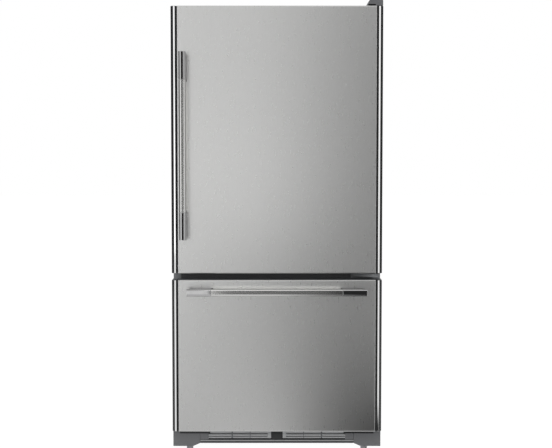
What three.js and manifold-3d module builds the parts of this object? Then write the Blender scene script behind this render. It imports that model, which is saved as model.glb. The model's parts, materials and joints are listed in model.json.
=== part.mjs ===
// A bottom freezer refrigerator: one hinged door over a freezer drawer.
// Millimetres, +X to the viewer's right, front faces -Y, +Z up, floor at z = 0.
import * as THREE from "three";
import { mergeVertices } from "three/addons/utils/BufferGeometryUtils.js";
import Module from "manifold-3d";

const wasm = await Module();
wasm.setup();

// ---- driving dimensions ----

// Overall.
const width = 826;
const totalHeight = 1785;
const totalDepth = 854;
const gap = 0.3; // between neighbours that touch
const runGap = 3; // beside a piece that slides or swings

// Doors.
const handleReach = 60;
const doorThickness = 72;
const gasketDepth = 14;
const gasketWidth = 14;
const gasketSideInset = 26;
const gasketEndInset = 5;
const panelSheet = 1.2;
const trimWidth = 24;
const trimDepth = 26;
const doorSkin = 2.5;
const dykeInset = 61;
const dykeWidth = 22;
const dykeDepth = 33;
const drawerDykeDepth = 22;

// Heights from the floor.
const frontSkirt = 21;
const grilleBottom = 33;
const drawerBottom = 88;
const drawerHeight = 602.3;
const doorGap = 25.7;
const hingeCoverRise = 27;
const coverLean = 11; // how far the hinge cover's inner side leans outwards over its height
const doorOverCabinet = 6;

// Cabinet walls.
const sheet = 1.5;
const liner = 2;
const sideWall = 48;
const topWall = 50;
const rearWall = 67;
const freezerRearWall = 87;
const lip = 18;
const sideBottom = 30;
const foamBottom = 62;
const freezerFloor = 115;
const railLapUp = 5.5; // of the centre rail, behind the fridge door's lower edge
const railLapDown = 12.8; // behind the drawer's upper edge
const machineHeight = 255;
const machineDepth = 262;
const stepWall = 45;

// Hinges.
const hingeInset = 22;
const hingeSetback = 37;
const pinRadius = 5;
const pinLength = 20;
const hingePlate = 5;
const hingeLip = 7; // bent down along the centre hinge's front edge
const coverWidth = 61;
const coverSkin = 2.5;

// Handles.
const barWidth = 28.5;
const barDepth = 17;
const handleSideInset = 48.6;
const fridgeHandleRise = 134.5; // above the fridge door's bottom edge
const fridgeHandleDrop = 180.5; // below its top edge
const fridgeMountLength = 108;
const drawerHandleInset = 62;
const drawerHandleDrop = 45; // bar centre below the drawer's top edge
const drawerMountLength = 95;
const mountWidth = 27.5;
const mountSlant = 28;

// Base.
const baseSetback = 35;
const cornerWidth = 107;
const cornerFlat = 79.5; // the level part of a corner cover's lower edge
const coverWall = 3;
const slotHeight = 6;
const slotPitch = 11.3;
const slotRows = 3;
const grilleRibs = [106.5, 178]; // distances of the ribs from the middle
const grilleCentre = 36;
const clipWidth = 34;
const ribWidth = 4;
const legRadius = 13;
const legScrewRadius = 6;
const legInset = 64.5;
const legSetback = 65;
const rollerRadius = 20;
const rollerWidth = 22;
const rollerInset = 83;
const rollerSetback = 77;
const axleRadius = 5;
const panHeight = 46;

// Fresh food space.
const binReach = 125;
const binHeight = 90;
const binWall = 2.5;
const binPitch = 190;
const binGap = 95; // dairy floor down to the upper bin's top
const dairyFloorDrop = 231; // below the fridge door's top edge
const dairyHeight = 118;
const dairyReach = 72;
const shelfSetback = 141;
const shelfFrame = 18;
const shelfFrameWidth = 24;
const shelfPitch = 207;
const shelfGlass = 4;
const ribReach = 12;
const ribHeight = 8;
const crisperHeight = 161;
const crisperWall = 2.5;
const crisperLip = 12;
const dividerWidth = 8;
const controlWidth = 280;
const controlHeight = 38;
const controlSetback = 221;
const controlDepth = 200;
const knobRadius = 15;
const knobDepth = 15;

// Freezer space.
const coverSheet = 3;
const evaporatorRoom = 62;
const fanRadius = 52;
const slideHeight = 40;
const slideRise = 15; // slides above the freezer step
const slideMember = 8;
const railWidth = 10.7;
const basketWall = 3;
const basketRim = 4;
const basketFloorRise = 12;
const basketClearance = 57; // from the slides up to the upper basket
const upperBasketDrop = 95; // its rim below the freezer ceiling
const evaporatorPitch = 28;
const evaporatorClearance = 20; // from the coil's top run to the fan
const ledgeReach = 14;
const ledgeHeight = 9;

// Machine compartment.
const coilLength = 190;
const coilRuns = 7;
const coilPitch = 26;
const coilRadius = 4;
const coilInset = 35;
const condenserFanRadius = 72;
const compressorRadius = 78;
const compressorHeight = 165;

// ---- places that follow from them ----

const halfWidth = width / 2;
const handleFront = -totalDepth / 2;
const doorFace = handleFront + handleReach;
const doorBack = doorFace + doorThickness;
const cabinetFront = doorBack + gasketDepth;
const cabinetRear = totalDepth / 2;
const drawerTop = drawerBottom + drawerHeight;
const doorBottom = drawerTop + doorGap;
const doorTop = totalHeight - hingeCoverRise;
const cabinetTop = doorTop - doorOverCabinet;
const insideX = halfWidth - sideWall;
const foamX = halfWidth - sheet - gap;
const foamFront = cabinetFront + sheet + gap;
const railHeight = railLapDown + doorGap + railLapUp;
const railMiddle = drawerTop - railLapDown + railHeight / 2;
const freezerCeiling = railMiddle - railHeight / 2 - lip;
const freshFloor = railMiddle + railHeight / 2 + lip;
const freshCeiling = cabinetTop - topWall;
const freshRear = cabinetRear - rearWall;
const freezerRear = cabinetRear - freezerRearWall;
const machineFront = cabinetRear - machineDepth;
const machineTop = sideBottom + machineHeight;
const stepFloor = machineTop + stepWall;
const lowerRear = machineFront - stepWall - 10;
const coverY = freezerRear - evaporatorRoom - coverSheet;
const dykeX = halfWidth - dykeInset;
const dykeInnerX = dykeX - dykeWidth;
const hingeX = halfWidth - hingeInset;
const hingeY = doorFace + hingeSetback;
const baseFront = doorFace + baseSetback;
const legX = halfWidth - legInset;
const legY = doorFace + legSetback;

// ---- solids ----

// A closed three.js geometry as a solid, turned outside out where its faces point in.
function solid(geometry) {
  const bare = geometry.index ? geometry.toNonIndexed() : geometry.clone();
  bare.deleteAttribute("normal");
  bare.deleteAttribute("uv");
  const merged = mergeVertices(bare, 1e-4);
  const place = merged.attributes.position;
  const corners = [];
  const [a, b, c] = [new THREE.Vector3(), new THREE.Vector3(), new THREE.Vector3()];
  let volume = 0;
  for (let i = 0; i < merged.index.count; i += 3) {
    const [p, q, r] = [0, 1, 2].map((k) => merged.index.getX(i + k));
    if (p === q || q === r || r === p) continue;
    a.fromBufferAttribute(place, p);
    b.fromBufferAttribute(place, q);
    c.fromBufferAttribute(place, r);
    volume += a.dot(b.cross(c));
    corners.push(p, q, r);
  }
  if (volume < 0) corners.reverse();
  return new wasm.Manifold(
    new wasm.Mesh({
      numProp: 3,
      vertProperties: new Float32Array(place.array),
      triVerts: new Uint32Array(corners),
    }),
  );
}

function join(...solids) {
  return solids.reduce((whole, next) => whole.add(next));
}

function cut(whole, ...holes) {
  return holes.reduce((left, hole) => left.subtract(hole), whole);
}

// A box from its two ends along each axis.
function block(x, y, z) {
  const size = [x, y, z].map(([low, high]) => high - low);
  const middle = [x, y, z].map(([low, high]) => (low + high) / 2);
  return solid(new THREE.BoxGeometry(...size).translate(...middle));
}

// An outline of [across, up] points drawn out along an axis. Along z the points are (x, y),
// along y they are (x, z), and along x they are (y, z).
function prism(axis, outline, [low, high]) {
  const shape = new THREE.Shape(outline.map(([across, up]) => new THREE.Vector2(across, up)));
  const geometry = new THREE.ExtrudeGeometry(shape, { depth: high - low, bevelEnabled: false });
  if (axis === "y") geometry.rotateX(Math.PI / 2).translate(0, high, 0);
  if (axis === "x") geometry.rotateX(Math.PI / 2).rotateZ(Math.PI / 2).translate(low, 0, 0);
  if (axis === "z") geometry.translate(0, 0, low);
  return solid(geometry);
}

// A profile of [radius, height] points turned about an axis through a centre.
function turned(axis, profile, [x, y, z], sides = 16) {
  const points = profile.map(([radius, height]) => new THREE.Vector2(radius, height));
  const geometry = new THREE.LatheGeometry(points, sides);
  if (axis === "z") geometry.rotateX(Math.PI / 2);
  if (axis === "x") geometry.rotateZ(-Math.PI / 2);
  return solid(geometry.translate(x, y, z));
}

// A rod or a round hole.
function rod(axis, radius, [low, high], centre, sides = 16) {
  return turned(axis, [[0, low], [radius, low], [radius, high], [0, high]], centre, sides);
}

// Points on an arc of an ellipse, angles in degrees.
function arc([x, y], [radiusX, radiusY], from, to, steps) {
  return Array.from({ length: steps + 1 }, (_, i) => {
    const angle = THREE.MathUtils.degToRad(from + ((to - from) * i) / steps);
    return [x + radiusX * Math.cos(angle), y + radiusY * Math.sin(angle)];
  });
}

// The same piece on the cabinet's other side.
function mirrored(shape) {
  return shape.mirror([1, 0, 0]);
}

// A tub open at the top: outer ends along each axis and one wall thickness.
function tub([x0, x1], [y0, y1], [z0, z1], wall) {
  const inside = block([x0 + wall, x1 - wall], [y0 + wall, y1 - wall], [z0 + wall, z1 + 1]);
  return cut(block([x0, x1], [y0, y1], [z0, z1]), inside);
}

// A flat frame round an opening, thick along y.
function ring([x0, x1], [z0, z1], bar, y) {
  const hole = block([x0 + bar, x1 - bar], [y[0] - 1, y[1] + 1], [z0 + bar, z1 - bar]);
  return cut(block([x0, x1], y, [z0, z1]), hole);
}

// A tube that runs to and fro along x, climbing by one pitch at each bend.
function serpentine([x0, x1], y, z, runs, pitch, radius) {
  const path = new THREE.CurvePath();
  const bend = pitch / 2;
  for (let run = 0; run < runs; run += 1) {
    const height = z + run * pitch;
    const [from, to] = run % 2 ? [x1, x0] : [x0, x1];
    const out = Math.sign(to - from) * bend;
    path.add(new THREE.LineCurve3(new THREE.Vector3(from, y, height), new THREE.Vector3(to, y, height)));
    if (run < runs - 1) {
      path.add(
        new THREE.CubicBezierCurve3(
          new THREE.Vector3(to, y, height),
          new THREE.Vector3(to + out * 1.33, y, height),
          new THREE.Vector3(to + out * 1.33, y, height + pitch),
          new THREE.Vector3(to, y, height + pitch),
        ),
      );
    }
  }
  const section = new THREE.Shape(
    arc([0, 0], [radius, radius], 0, 300, 5).map(([x, up]) => new THREE.Vector2(x, up)),
  );
  const steps = runs * 14;
  return solid(new THREE.ExtrudeGeometry(section, { steps, extrudePath: path, bevelEnabled: false }));
}

// ---- materials ----

const finishes = {
  stainless: { color: 0xb4b2ae, roughness: 0.35, metalness: 1 },
  chrome: { color: 0xd8d8d8, roughness: 0.12, metalness: 1 },
  handle: { color: 0xc0bfbc, roughness: 0.22, metalness: 1 },
  greyPaint: { color: 0x6e6f71, roughness: 0.5, metalness: 0.2 },
  greyPlastic: { color: 0x5d5e60, roughness: 0.55, metalness: 0 },
  whitePlastic: { color: 0xeceeee, roughness: 0.4, metalness: 0 },
  clearPlastic: { color: 0xd5dfe2, roughness: 0.15, metalness: 0 },
  foam: { color: 0xe2d9b0, roughness: 0.9, metalness: 0 },
  gasket: { color: 0x8d8e90, roughness: 0.8, metalness: 0 },
  steel: { color: 0x9a9b9c, roughness: 0.45, metalness: 1 },
  blackPaint: { color: 0x1b1c1d, roughness: 0.4, metalness: 0.3 },
  copper: { color: 0x4a4a48, roughness: 0.4, metalness: 0.8 },
};

const refrigerator = new THREE.Group();
const fridgeDoor = new THREE.Group();
const freezerDrawer = new THREE.Group();
refrigerator.add(fridgeDoor, freezerDrawer);

// A solid as a named mesh in a group.
function piece(group, name, finish, shape) {
  const { vertProperties, triVerts } = shape.getMesh();
  const geometry = new THREE.BufferGeometry();
  geometry.setAttribute("position", new THREE.BufferAttribute(vertProperties, 3));
  geometry.setIndex(new THREE.BufferAttribute(triVerts, 1));
  geometry.computeVertexNormals();
  const mesh = new THREE.Mesh(geometry, new THREE.MeshStandardMaterial(finishes[finish]));
  mesh.name = name;
  group.add(mesh);
}

// ---- cabinet ----

// The folded outer shell: sides, top, back and the front returns that the gaskets close on.
function cabinetShell() {
  const outer = block([-halfWidth, halfWidth], [cabinetFront, cabinetRear], [sideBottom, cabinetTop]);
  const inner = halfWidth - sheet;
  const opening = insideX + lip;
  return cut(
    outer,
    block([-inner, inner], [cabinetFront + sheet, cabinetRear - sheet], [0, cabinetTop - sheet]),
    block([-opening, opening], [cabinetFront - 1, cabinetFront + 2 * sheet], [0, freshCeiling + lip]),
    block([-inner, inner], [cabinetRear - 2 * sheet, cabinetRear + 1], [0, machineTop + 2]),
  );
}

// The side outline of the freezer space with its step over the machine compartment.
function freezerOutline(grow, front) {
  return [
    [front, freezerFloor - grow],
    [lowerRear + grow, freezerFloor - grow],
    [lowerRear + grow, stepFloor - grow],
    [freezerRear + grow, stepFloor - grow],
    [freezerRear + grow, freezerCeiling + grow],
    [front, freezerCeiling + grow],
  ];
}

function cabinetFoam() {
  const rear = cabinetRear - sheet - gap;
  const outline = [
    [foamFront, foamBottom],
    [machineFront, foamBottom],
    [machineFront, machineTop],
    [rear, machineTop],
    [rear, cabinetTop - sheet - gap],
    [foamFront, cabinetTop - sheet - gap],
  ];
  const grow = liner + gap;
  const inner = insideX + grow;
  return cut(
    prism("x", outline, [-foamX, foamX]),
    block([-inner, inner], [foamFront - 1, freshRear + grow], [freshFloor - grow, freshCeiling + grow]),
    prism("x", freezerOutline(grow, foamFront - 1), [-inner, inner]),
  );
}

// Moulded runners on both side walls of a space.
function sideRunners(y, z, reach) {
  return [-1, 1].map((side) => {
    const ends = [side * (insideX - reach), side * (insideX + liner / 2)];
    return block(ends.sort((a, b) => a - b), y, z);
  });
}

function shelfBottom(number) {
  return crisperCoverTop + number * shelfPitch - shelfFrame;
}

const crisperCoverBottom = freshFloor + crisperHeight + runGap + ribHeight;
const crisperCoverTop = crisperCoverBottom + 14;
const shelfFront = cabinetFront + shelfSetback;
const shelfRear = freshRear - 15;

// The moulded fresh food liner, its front lip and the ribs that carry the shelves.
function freshFoodLiner() {
  const outer = insideX + liner;
  const edge = insideX + lip - gap;
  const lipBottom = freshFloor - lip + gap;
  const lipTop = freshCeiling + lip - gap;
  const body = join(
    block([-outer, outer], [cabinetFront, freshRear + liner], [freshFloor - liner, freshCeiling + liner]),
    block([-edge, edge], [cabinetFront, cabinetFront + sheet], [lipBottom, lipTop]),
  );
  const hollow = block([-insideX, insideX], [cabinetFront - 1, freshRear], [freshFloor, freshCeiling]);
  const run = [shelfFront + 10, shelfRear - 10];
  const levels = [crisperCoverBottom, shelfBottom(1), shelfBottom(2)];
  const ribs = levels.flatMap((z) => sideRunners(run, [z - ribHeight, z - gap], ribReach));
  return join(cut(body, hollow), ...ribs);
}

const upperRimTop = freezerCeiling - upperBasketDrop;
const slideBottom = stepFloor + slideRise;

// The stepped freezer liner, its front lip and the ledges under the upper basket's rim.
function freezerLiner() {
  const outer = insideX + liner;
  const edge = insideX + lip - gap;
  const lipTop = freezerCeiling + lip - gap;
  const lipBottom = foamBottom + gap;
  const body = join(
    prism("x", freezerOutline(liner, cabinetFront), [-outer, outer]),
    block([-edge, edge], [cabinetFront, cabinetFront + sheet], [lipBottom, lipTop]),
  );
  const hollow = prism("x", freezerOutline(0, cabinetFront - 1), [-insideX, insideX]);
  const top = upperRimTop - basketRim - gap;
  const ledges = sideRunners([cabinetFront + 20, coverY - 5], [top - ledgeHeight, top], ledgeReach);
  return join(cut(body, hollow), ...ledges);
}

function centreRail() {
  const edge = insideX + lip - gap;
  const half = railHeight / 2 - gap;
  return block([-edge, edge], [cabinetFront, cabinetFront + sheet], [railMiddle - half, railMiddle + half]);
}

// ---- base ----

function footBracket(side) {
  const z = [panHeight - 2, foamBottom - gap];
  const reach = 28;
  const x = [side * legX - reach, side * legX + reach];
  const plate = block(x, [legY - 20, foamFront + 2], [z[0], z[1] - 2]);
  return cut(plate, rod("z", legScrewRadius + 0.6, [z[0] - 1, z[1] + 1], [side * legX, legY, 0]));
}

function rollerCheeks(side) {
  const y = cabinetRear - rollerSetback;
  const inner = rollerWidth / 2 + runGap;
  const middle = side * (halfWidth - rollerInset);
  const cheeks = [-1, 1].map((end) => {
    const x = [middle + end * inner, middle + end * (inner + 3)].sort((a, b) => a - b);
    return block(x, [y - 14, y + 14], [rollerRadius - 9, panHeight - 1]);
  });
  const hole = rod("x", axleRadius + 0.4, [-40, 40], [middle, y, rollerRadius]);
  return cut(join(...cheeks), hole);
}

// The steel base: bottom pan with its pressed drain tray, side walls, cross walls, foot and
// roller brackets.
function baseFrame() {
  const wall = 2;
  const rear = cabinetRear - 4;
  const low = foamBottom - gap;
  const behind = machineFront + gap;
  const top = machineTop - gap;
  const sideOutline = [
    [foamFront, sideBottom + 2],
    [rear, sideBottom + 2],
    [rear, top],
    [behind, top],
    [behind, low],
    [foamFront, low],
  ];
  const walls = [-1, 1].map((side) => {
    const x = [side * (foamX - wall), side * foamX].sort((a, b) => a - b);
    return prism("x", sideOutline, x);
  });
  const across = [-foamX + wall / 2, foamX - wall / 2]; // cross pieces end inside the side walls
  const trayX = [coilLeft - 10, coilLeft + coilLength + 20];
  const trayY = [machineFront + 20, cabinetRear - 20];
  const tray = tub(trayX, trayY, [panHeight - 2.5, panHeight + 12], 2);
  return join(
    block(across, [foamFront + 1, rear - 1], [panHeight - 3, panHeight]),
    block(across, [foamFront + 0.5, foamFront + 3], [sideBottom + 3, low - 1]),
    block(across, [behind + 0.5, behind + 2.5], [panHeight - 2, top - 1]),
    ...walls,
    tray,
    footBracket(-1),
    footBracket(1),
    rollerCheeks(-1),
    rollerCheeks(1),
  );
}

// A front foot: round pad on a screw.
function levellingLeg(side) {
  const padTop = sideBottom;
  const profile = [
    [0, 0],
    [legRadius, 0],
    [legRadius, padTop],
    [legScrewRadius, padTop + 4],
    [legScrewRadius, foamBottom + 14],
    [0, foamBottom + 14],
  ];
  return turned("z", profile, [side * legX, legY, 0]);
}

// A rear roller with its axle stubs.
function rearRoller(side) {
  const half = rollerWidth / 2;
  const profile = [
    [0, -half - 5],
    [axleRadius, -half - 5],
    [axleRadius, -half],
    [rollerRadius, -half],
    [rollerRadius, half],
    [axleRadius, half],
    [axleRadius, half + 5],
    [0, half + 5],
  ];
  const centre = [side * (halfWidth - rollerInset), cabinetRear - rollerSetback, rollerRadius];
  return turned("x", profile, centre, 24);
}

// A hollow corner cover, open at the back and underneath, its lower edge cut back at a slant.
function cornerCover() {
  const inner = halfWidth - cornerWidth;
  const top = drawerBottom - 2;
  const outline = [
    [halfWidth, frontSkirt],
    [halfWidth - cornerFlat, frontSkirt],
    [inner, grilleBottom],
    [inner, top],
    [halfWidth, top],
  ];
  const hollow = block(
    [inner + coverWall, halfWidth - coverWall],
    [baseFront + coverWall, cabinetFront + 1],
    [0, top - coverWall],
  );
  return cut(prism("y", outline, [baseFront, cabinetFront - gap]), hollow);
}

// The slotted grille between the corner covers, with its clip blocks and folded edges.
function baseGrille() {
  const edge = halfWidth - cornerWidth - gap;
  const top = drawerBottom - 2;
  const clipX = edge - clipWidth;
  const columns = [grilleCentre, ...grilleRibs, clipX + ribWidth / 2];
  const slots = [-1, 1].flatMap((side) =>
    columns.slice(1).flatMap((outer, column) =>
      Array.from({ length: slotRows }, (_, row) => {
        const x = [side * (columns[column] + ribWidth / 2), side * (outer - ribWidth / 2)];
        const z = top - 17 - row * slotPitch;
        return block(
          x.sort((a, b) => a - b),
          [baseFront - 1, baseFront + coverWall + 1],
          [z - slotHeight / 2, z + slotHeight / 2],
        );
      }),
    ),
  );
  const depth = 22;
  const clips = [-1, 1].map((side) => {
    const x = [side * clipX, side * edge].sort((a, b) => a - b);
    return block(x, [baseFront, baseFront + depth], [grilleBottom, top]);
  });
  return join(
    cut(block([-edge, edge], [baseFront, baseFront + coverWall], [grilleBottom, top]), ...slots),
    block([-edge, edge], [baseFront, baseFront + depth], [top - coverWall, top]),
    ...clips,
  );
}

// ---- machine compartment ----

const coilLeft = -halfWidth + coilInset;
const coilY = cabinetRear - machineDepth / 2;
const fanX = coilLeft + coilLength + 58;
const fanZ = panHeight + 95;
const compressorX = fanX + 200;

function condenserCoil() {
  const low = panHeight + 24;
  const ends = [coilLeft, coilLeft + coilLength];
  const plates = ends.map((x, i) => {
    const at = x + (i ? -14 : 12);
    const top = low + coilRuns * coilPitch - 12;
    return block([at, at + 2], [coilY - 14, coilY + 14], [panHeight + 15, top]);
  });
  const tube = serpentine([ends[0] + 6, ends[1] - 6], coilY, low, coilRuns, coilPitch, coilRadius);
  return join(tube, ...plates);
}

// A square plate with a round mouth, and a motor held behind it on four arms.
function condenserFanMotor() {
  const half = condenserFanRadius + 16;
  const plate = cut(
    block([fanX, fanX + 3], [coilY - half, coilY + half], [panHeight + gap, fanZ + half]),
    rod("x", condenserFanRadius + 4, [-1, 4], [fanX, coilY, fanZ], 32),
  );
  const arms = [0, 90].map((angle) => {
    const arm = new THREE.BoxGeometry(4, 2 * half - 14, 8).rotateX(THREE.MathUtils.degToRad(angle));
    return solid(arm.translate(fanX + 5, coilY, fanZ));
  });
  return join(plate, ...arms, rod("x", 24, [4, 50], [fanX, coilY, fanZ]));
}

// A hub with five pitched blades and a shaft, on an axis along x or y.
function axialFan(axis, radius, hubRadius, shaft, [x, y, z]) {
  const blades = 5;
  const depth = 16;
  const parts = Array.from({ length: blades }, (_, i) => {
    const length = radius - hubRadius + 6;
    const blade = new THREE.BoxGeometry(2, hubRadius * 1.9, length)
      .rotateZ(THREE.MathUtils.degToRad(62))
      .translate(0, 0, hubRadius - 6 + length / 2)
      .rotateX((i * 2 * Math.PI) / blades);
    if (axis === "y") blade.rotateZ(Math.PI / 2);
    return solid(blade.translate(x, y, z));
  });
  const hub = rod(axis, hubRadius, [-depth / 2, depth / 2], [x, y, z]);
  return join(hub, rod(axis, 3, shaft, [x, y, z], 8), ...parts);
}

// A hermetic can on a mounting plate with four short feet.
function compressor() {
  const bottom = panHeight + gap;
  const base = bottom + 14;
  const top = base + compressorHeight;
  const can = turned(
    "z",
    [
      [0, base],
      [compressorRadius - 12, base],
      [compressorRadius, base + 14],
      [compressorRadius, top - 45],
      ...arc([0, top - 45], [compressorRadius, 45], 15, 90, 5),
    ],
    [compressorX, coilY, 0],
    24,
  );
  const plate = block(
    [compressorX - 100, compressorX + 100],
    [coilY - 58, coilY + 58],
    [base - 2, base + 3],
  );
  const feet = [-1, 1].flatMap((sideX) =>
    [-1, 1].map((sideY) =>
      rod("z", 10, [bottom, base], [compressorX + sideX * 84, coilY + sideY * 42, 0], 12),
    ),
  );
  return join(can, plate, ...feet);
}

// The slotted rear cover with the ring that the power cord comes out of.
function machineCover() {
  const low = panHeight + gap;
  const high = machineTop - gap;
  const y = [cabinetRear - 3, cabinetRear];
  const slots = [0, 1, 2].flatMap((row) =>
    [-1, 1].map((side) => {
      const x = [side * 60, side * (foamX - 60)].sort((a, b) => a - b);
      const z = low + 60 + row * 30;
      return block(x, [y[0] - 1, y[1] + 1], [z, z + 10]);
    }),
  );
  const cordX = halfWidth - 60;
  return cut(
    join(
      block([-foamX, foamX], y, [low, high]),
      rod("y", 14, [-12, -2], [cordX, cabinetRear, high - 30]),
    ),
    ...slots,
    rod("y", 6, [-20, 20], [cordX, cabinetRear, high - 30]),
  );
}

// ---- hinges ----

// The top hinge: a plate on the cabinet that steps out over the door, and the pin under it.
function topHingeBracket() {
  const under = doorTop + 1;
  const plateTop = under + hingePlate;
  const outline = [
    [hingeY - 16, under],
    [cabinetFront + 6, under],
    [cabinetFront + 6, cabinetTop + gap],
    [cabinetFront + 110, cabinetTop + gap],
    [cabinetFront + 110, cabinetTop + gap + hingePlate],
    [cabinetFront + 24, plateTop],
    [hingeY - 16, plateTop],
  ];
  const plate = prism("x", outline, [hingeX - 28, hingeX + 16]);
  return join(plate, rod("z", pinRadius, [under - pinLength, plateTop], [hingeX, hingeY, 0]));
}

// The moulded cover over the top hinge: open underneath, its inner side leaning outwards.
function hingeCover() {
  const outer = halfWidth - 1;
  const inner = outer - coverWidth;
  const round = 9;
  const low = doorTop + 0.5;
  const front = doorFace + 4;
  const rear = cabinetFront + 150;
  const shape = (inset, bottom) => [
    [inner + inset, bottom],
    [outer - inset, bottom],
    ...arc([outer - round, totalHeight - round], [round - inset, round - inset], 0, 90, 4),
    [inner + coverLean + inset / 2, totalHeight - inset],
  ];
  const cover = join(
    prism("y", shape(0, low), [front, rear]),
    prism("y", shape(0, cabinetTop + gap), [cabinetFront + 4, rear]),
  );
  return cut(cover, prism("y", shape(coverSkin, cabinetTop - 5), [front + coverSkin, rear - coverSkin]));
}

// The centre hinge: an arm with a bent front lip in the gap under the fridge door, its flange on
// the rail, and its pin.
function centreHingeBracket() {
  const top = doorBottom - 3;
  const bottom = top - 6;
  const left = hingeX - 96;
  const front = [
    [left + 8, cabinetFront - 22],
    [hingeX - 18, hingeY - 20],
    [hingeX + 14, hingeY - 20],
  ];
  const sides = [
    [left, cabinetFront - gap],
    [hingeX + 18, cabinetFront - gap],
  ];
  const lipOutline = [0.5, 3.5].flatMap((inset, i) => {
    const edge = front.map(([x, y]) => [x, y + inset]);
    return i ? edge.reverse() : edge;
  });
  return join(
    prism("z", [sides[0], ...front, sides[1]], [bottom, top]),
    prism("z", lipOutline, [bottom - hingeLip, bottom + 1]),
    block([left, hingeX - 10], [cabinetFront - 3, cabinetFront - gap], [drawerTop + 1, top]),
    rod("z", pinRadius, [bottom, top + pinLength], [hingeX, hingeY, 0]),
  );
}

// ---- doors ----

// The outline of a door seen from above without its trims: a wide back and a narrower front.
function doorOutline(inset, front) {
  const wide = halfWidth - inset;
  const narrow = halfWidth - trimWidth - gap - inset;
  const shoulder = doorFace + trimDepth + gap + inset;
  const back = doorBack - inset;
  return [
    [-wide, back],
    [-wide, shoulder],
    [-narrow, shoulder],
    [-narrow, front],
    [narrow, front],
    [narrow, shoulder],
    [wide, shoulder],
    [wide, back],
  ];
}

// The brushed outer sheet between the two trims.
function doorPanel(low, high) {
  const edge = halfWidth - trimWidth - gap;
  return block([-edge, edge], [doorFace, doorFace + panelSheet], [low, high]);
}

function doorFoam(low, high) {
  const inset = doorSkin + gap;
  const front = doorFace + panelSheet + gap;
  return prism("z", doorOutline(inset, front), [low + inset, high - inset]);
}

// The inner door: back, sides and end caps in one moulding, open behind the outer sheet, with
// the raised dyke that the bins hang between.
function doorLiner(low, high, reach, depth) {
  const front = doorFace + panelSheet + gap;
  const shell = cut(
    prism("z", doorOutline(0, front), [low, high]),
    prism("z", doorOutline(doorSkin, front - 1), [low + doorSkin, high - doorSkin]),
  );
  const dyke = ring([-reach, reach], [low + 45, high - 77], dykeWidth, [doorBack - 1, doorBack + depth]);
  return join(shell, dyke);
}

// The bright side trim, bulged like a half round at the front.
function sideTrim(low, high) {
  const inner = halfWidth - trimWidth;
  const bulge = 9;
  const shoulder = doorFace + bulge;
  const middle = inner + trimWidth / 2;
  const outline = [
    [inner, doorFace + trimDepth],
    ...arc([middle, shoulder], [trimWidth / 2, bulge], 180, 360, 10),
    [halfWidth, doorFace + trimDepth],
  ];
  return prism("z", outline, [low, high]);
}

// The magnetic seal on the back of a door.
function gasket(low, high) {
  const edge = halfWidth - gasketSideInset;
  return ring([-edge, edge], [low, high], gasketWidth, [doorBack + gap, cabinetFront - gap]);
}

// The section of a handle bar: flat behind, rounded in front. across is measured from its middle.
function barOutline() {
  const half = barWidth / 2;
  const flat = handleFront + barDepth;
  const shoulder = handleFront + 8;
  return [[-half, flat], ...arc([0, shoulder], [half, 8], 180, 360, 8), [half, flat]];
}

// The side view of the leg behind a handle's end: foot on the door, outer end slanting back.
function legOutline(inward, length) {
  const bar = handleFront + barDepth - 1; // the leg starts inside the bar's section
  const foot = doorFace - gap;
  return [
    [bar, inward * 0.5],
    [bar, inward * (length - 0.5)],
    [foot, inward * (length + 6)],
    [foot, inward * mountSlant],
  ];
}

// An upright bar, and an end mount at each end that carries on the bar's section over its leg.
function fridgeHandle() {
  const x = -halfWidth + handleSideInset;
  const low = doorBottom + fridgeHandleRise;
  const high = doorTop - fridgeHandleDrop;
  const section = barOutline().map(([across, y]) => [x + across, y]);
  const mount = (end, inward) => {
    const ends = [end, end + inward * fridgeMountLength].sort((a, b) => a - b);
    const leg = legOutline(inward, fridgeMountLength).map(([y, along]) => [y, end + along]);
    const across = [x - mountWidth / 2, x + mountWidth / 2];
    return join(prism("z", section, ends), prism("x", leg, across));
  };
  const reach = fridgeMountLength + gap;
  return [prism("z", section, [low + reach, high - reach]), mount(high, -1), mount(low, 1)];
}

// The same with its bar level.
function drawerHandle() {
  const z = drawerTop - drawerHandleDrop;
  const edge = halfWidth - drawerHandleInset;
  const section = barOutline().map(([across, y]) => [y, z + across]);
  const mount = (end, inward) => {
    const ends = [end, end + inward * drawerMountLength].sort((a, b) => a - b);
    const leg = legOutline(inward, drawerMountLength).map(([y, along]) => [end + along, y]);
    const across = [z - mountWidth / 2, z + mountWidth / 2];
    return join(prism("x", section, ends), prism("z", leg, across));
  };
  const reach = drawerMountLength + gap;
  return [prism("x", section, [reach - edge, edge - reach]), mount(-edge, 1), mount(edge, -1)];
}

// Blind holes for the hinge pins in the door's two ends.
function pinHoles() {
  const centre = [hingeX, hingeY, 0];
  const radius = pinRadius + 0.6;
  return [
    rod("z", radius, [doorTop - pinLength - 2, doorTop + 1], centre),
    rod("z", radius, [doorBottom - 1, doorBottom + pinLength + 2], centre),
  ];
}

// ---- fridge door fittings ----

const dairyFloor = doorTop - dairyFloorDrop;
const dairyPivot = [doorBack + dairyReach - 6, dairyFloor + dairyHeight];
const lidX = dykeInnerX - 5;

// The moulded dairy compartment: floor, roof and two cheeks with the lid's pin holes.
function dairyWalls() {
  const y = [doorBack - 1, doorBack + dairyReach];
  const top = dairyPivot[1] + 12;
  const cheeks = [-1, 1].map((side) => {
    const x = [side * (lidX + 0.8), side * (dykeInnerX + 1)].sort((a, b) => a - b);
    return block(x, y, [dairyFloor, top]);
  });
  const walls = join(
    block([-dykeInnerX - 1, dykeInnerX + 1], y, [dairyFloor - 3, dairyFloor]),
    block([-dykeInnerX - 1, dykeInnerX + 1], y, [top, top + 3]),
    ...cheeks,
  );
  return cut(walls, rod("x", 3.5, [-dykeX, dykeX], [0, ...dairyPivot], 12));
}

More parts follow.
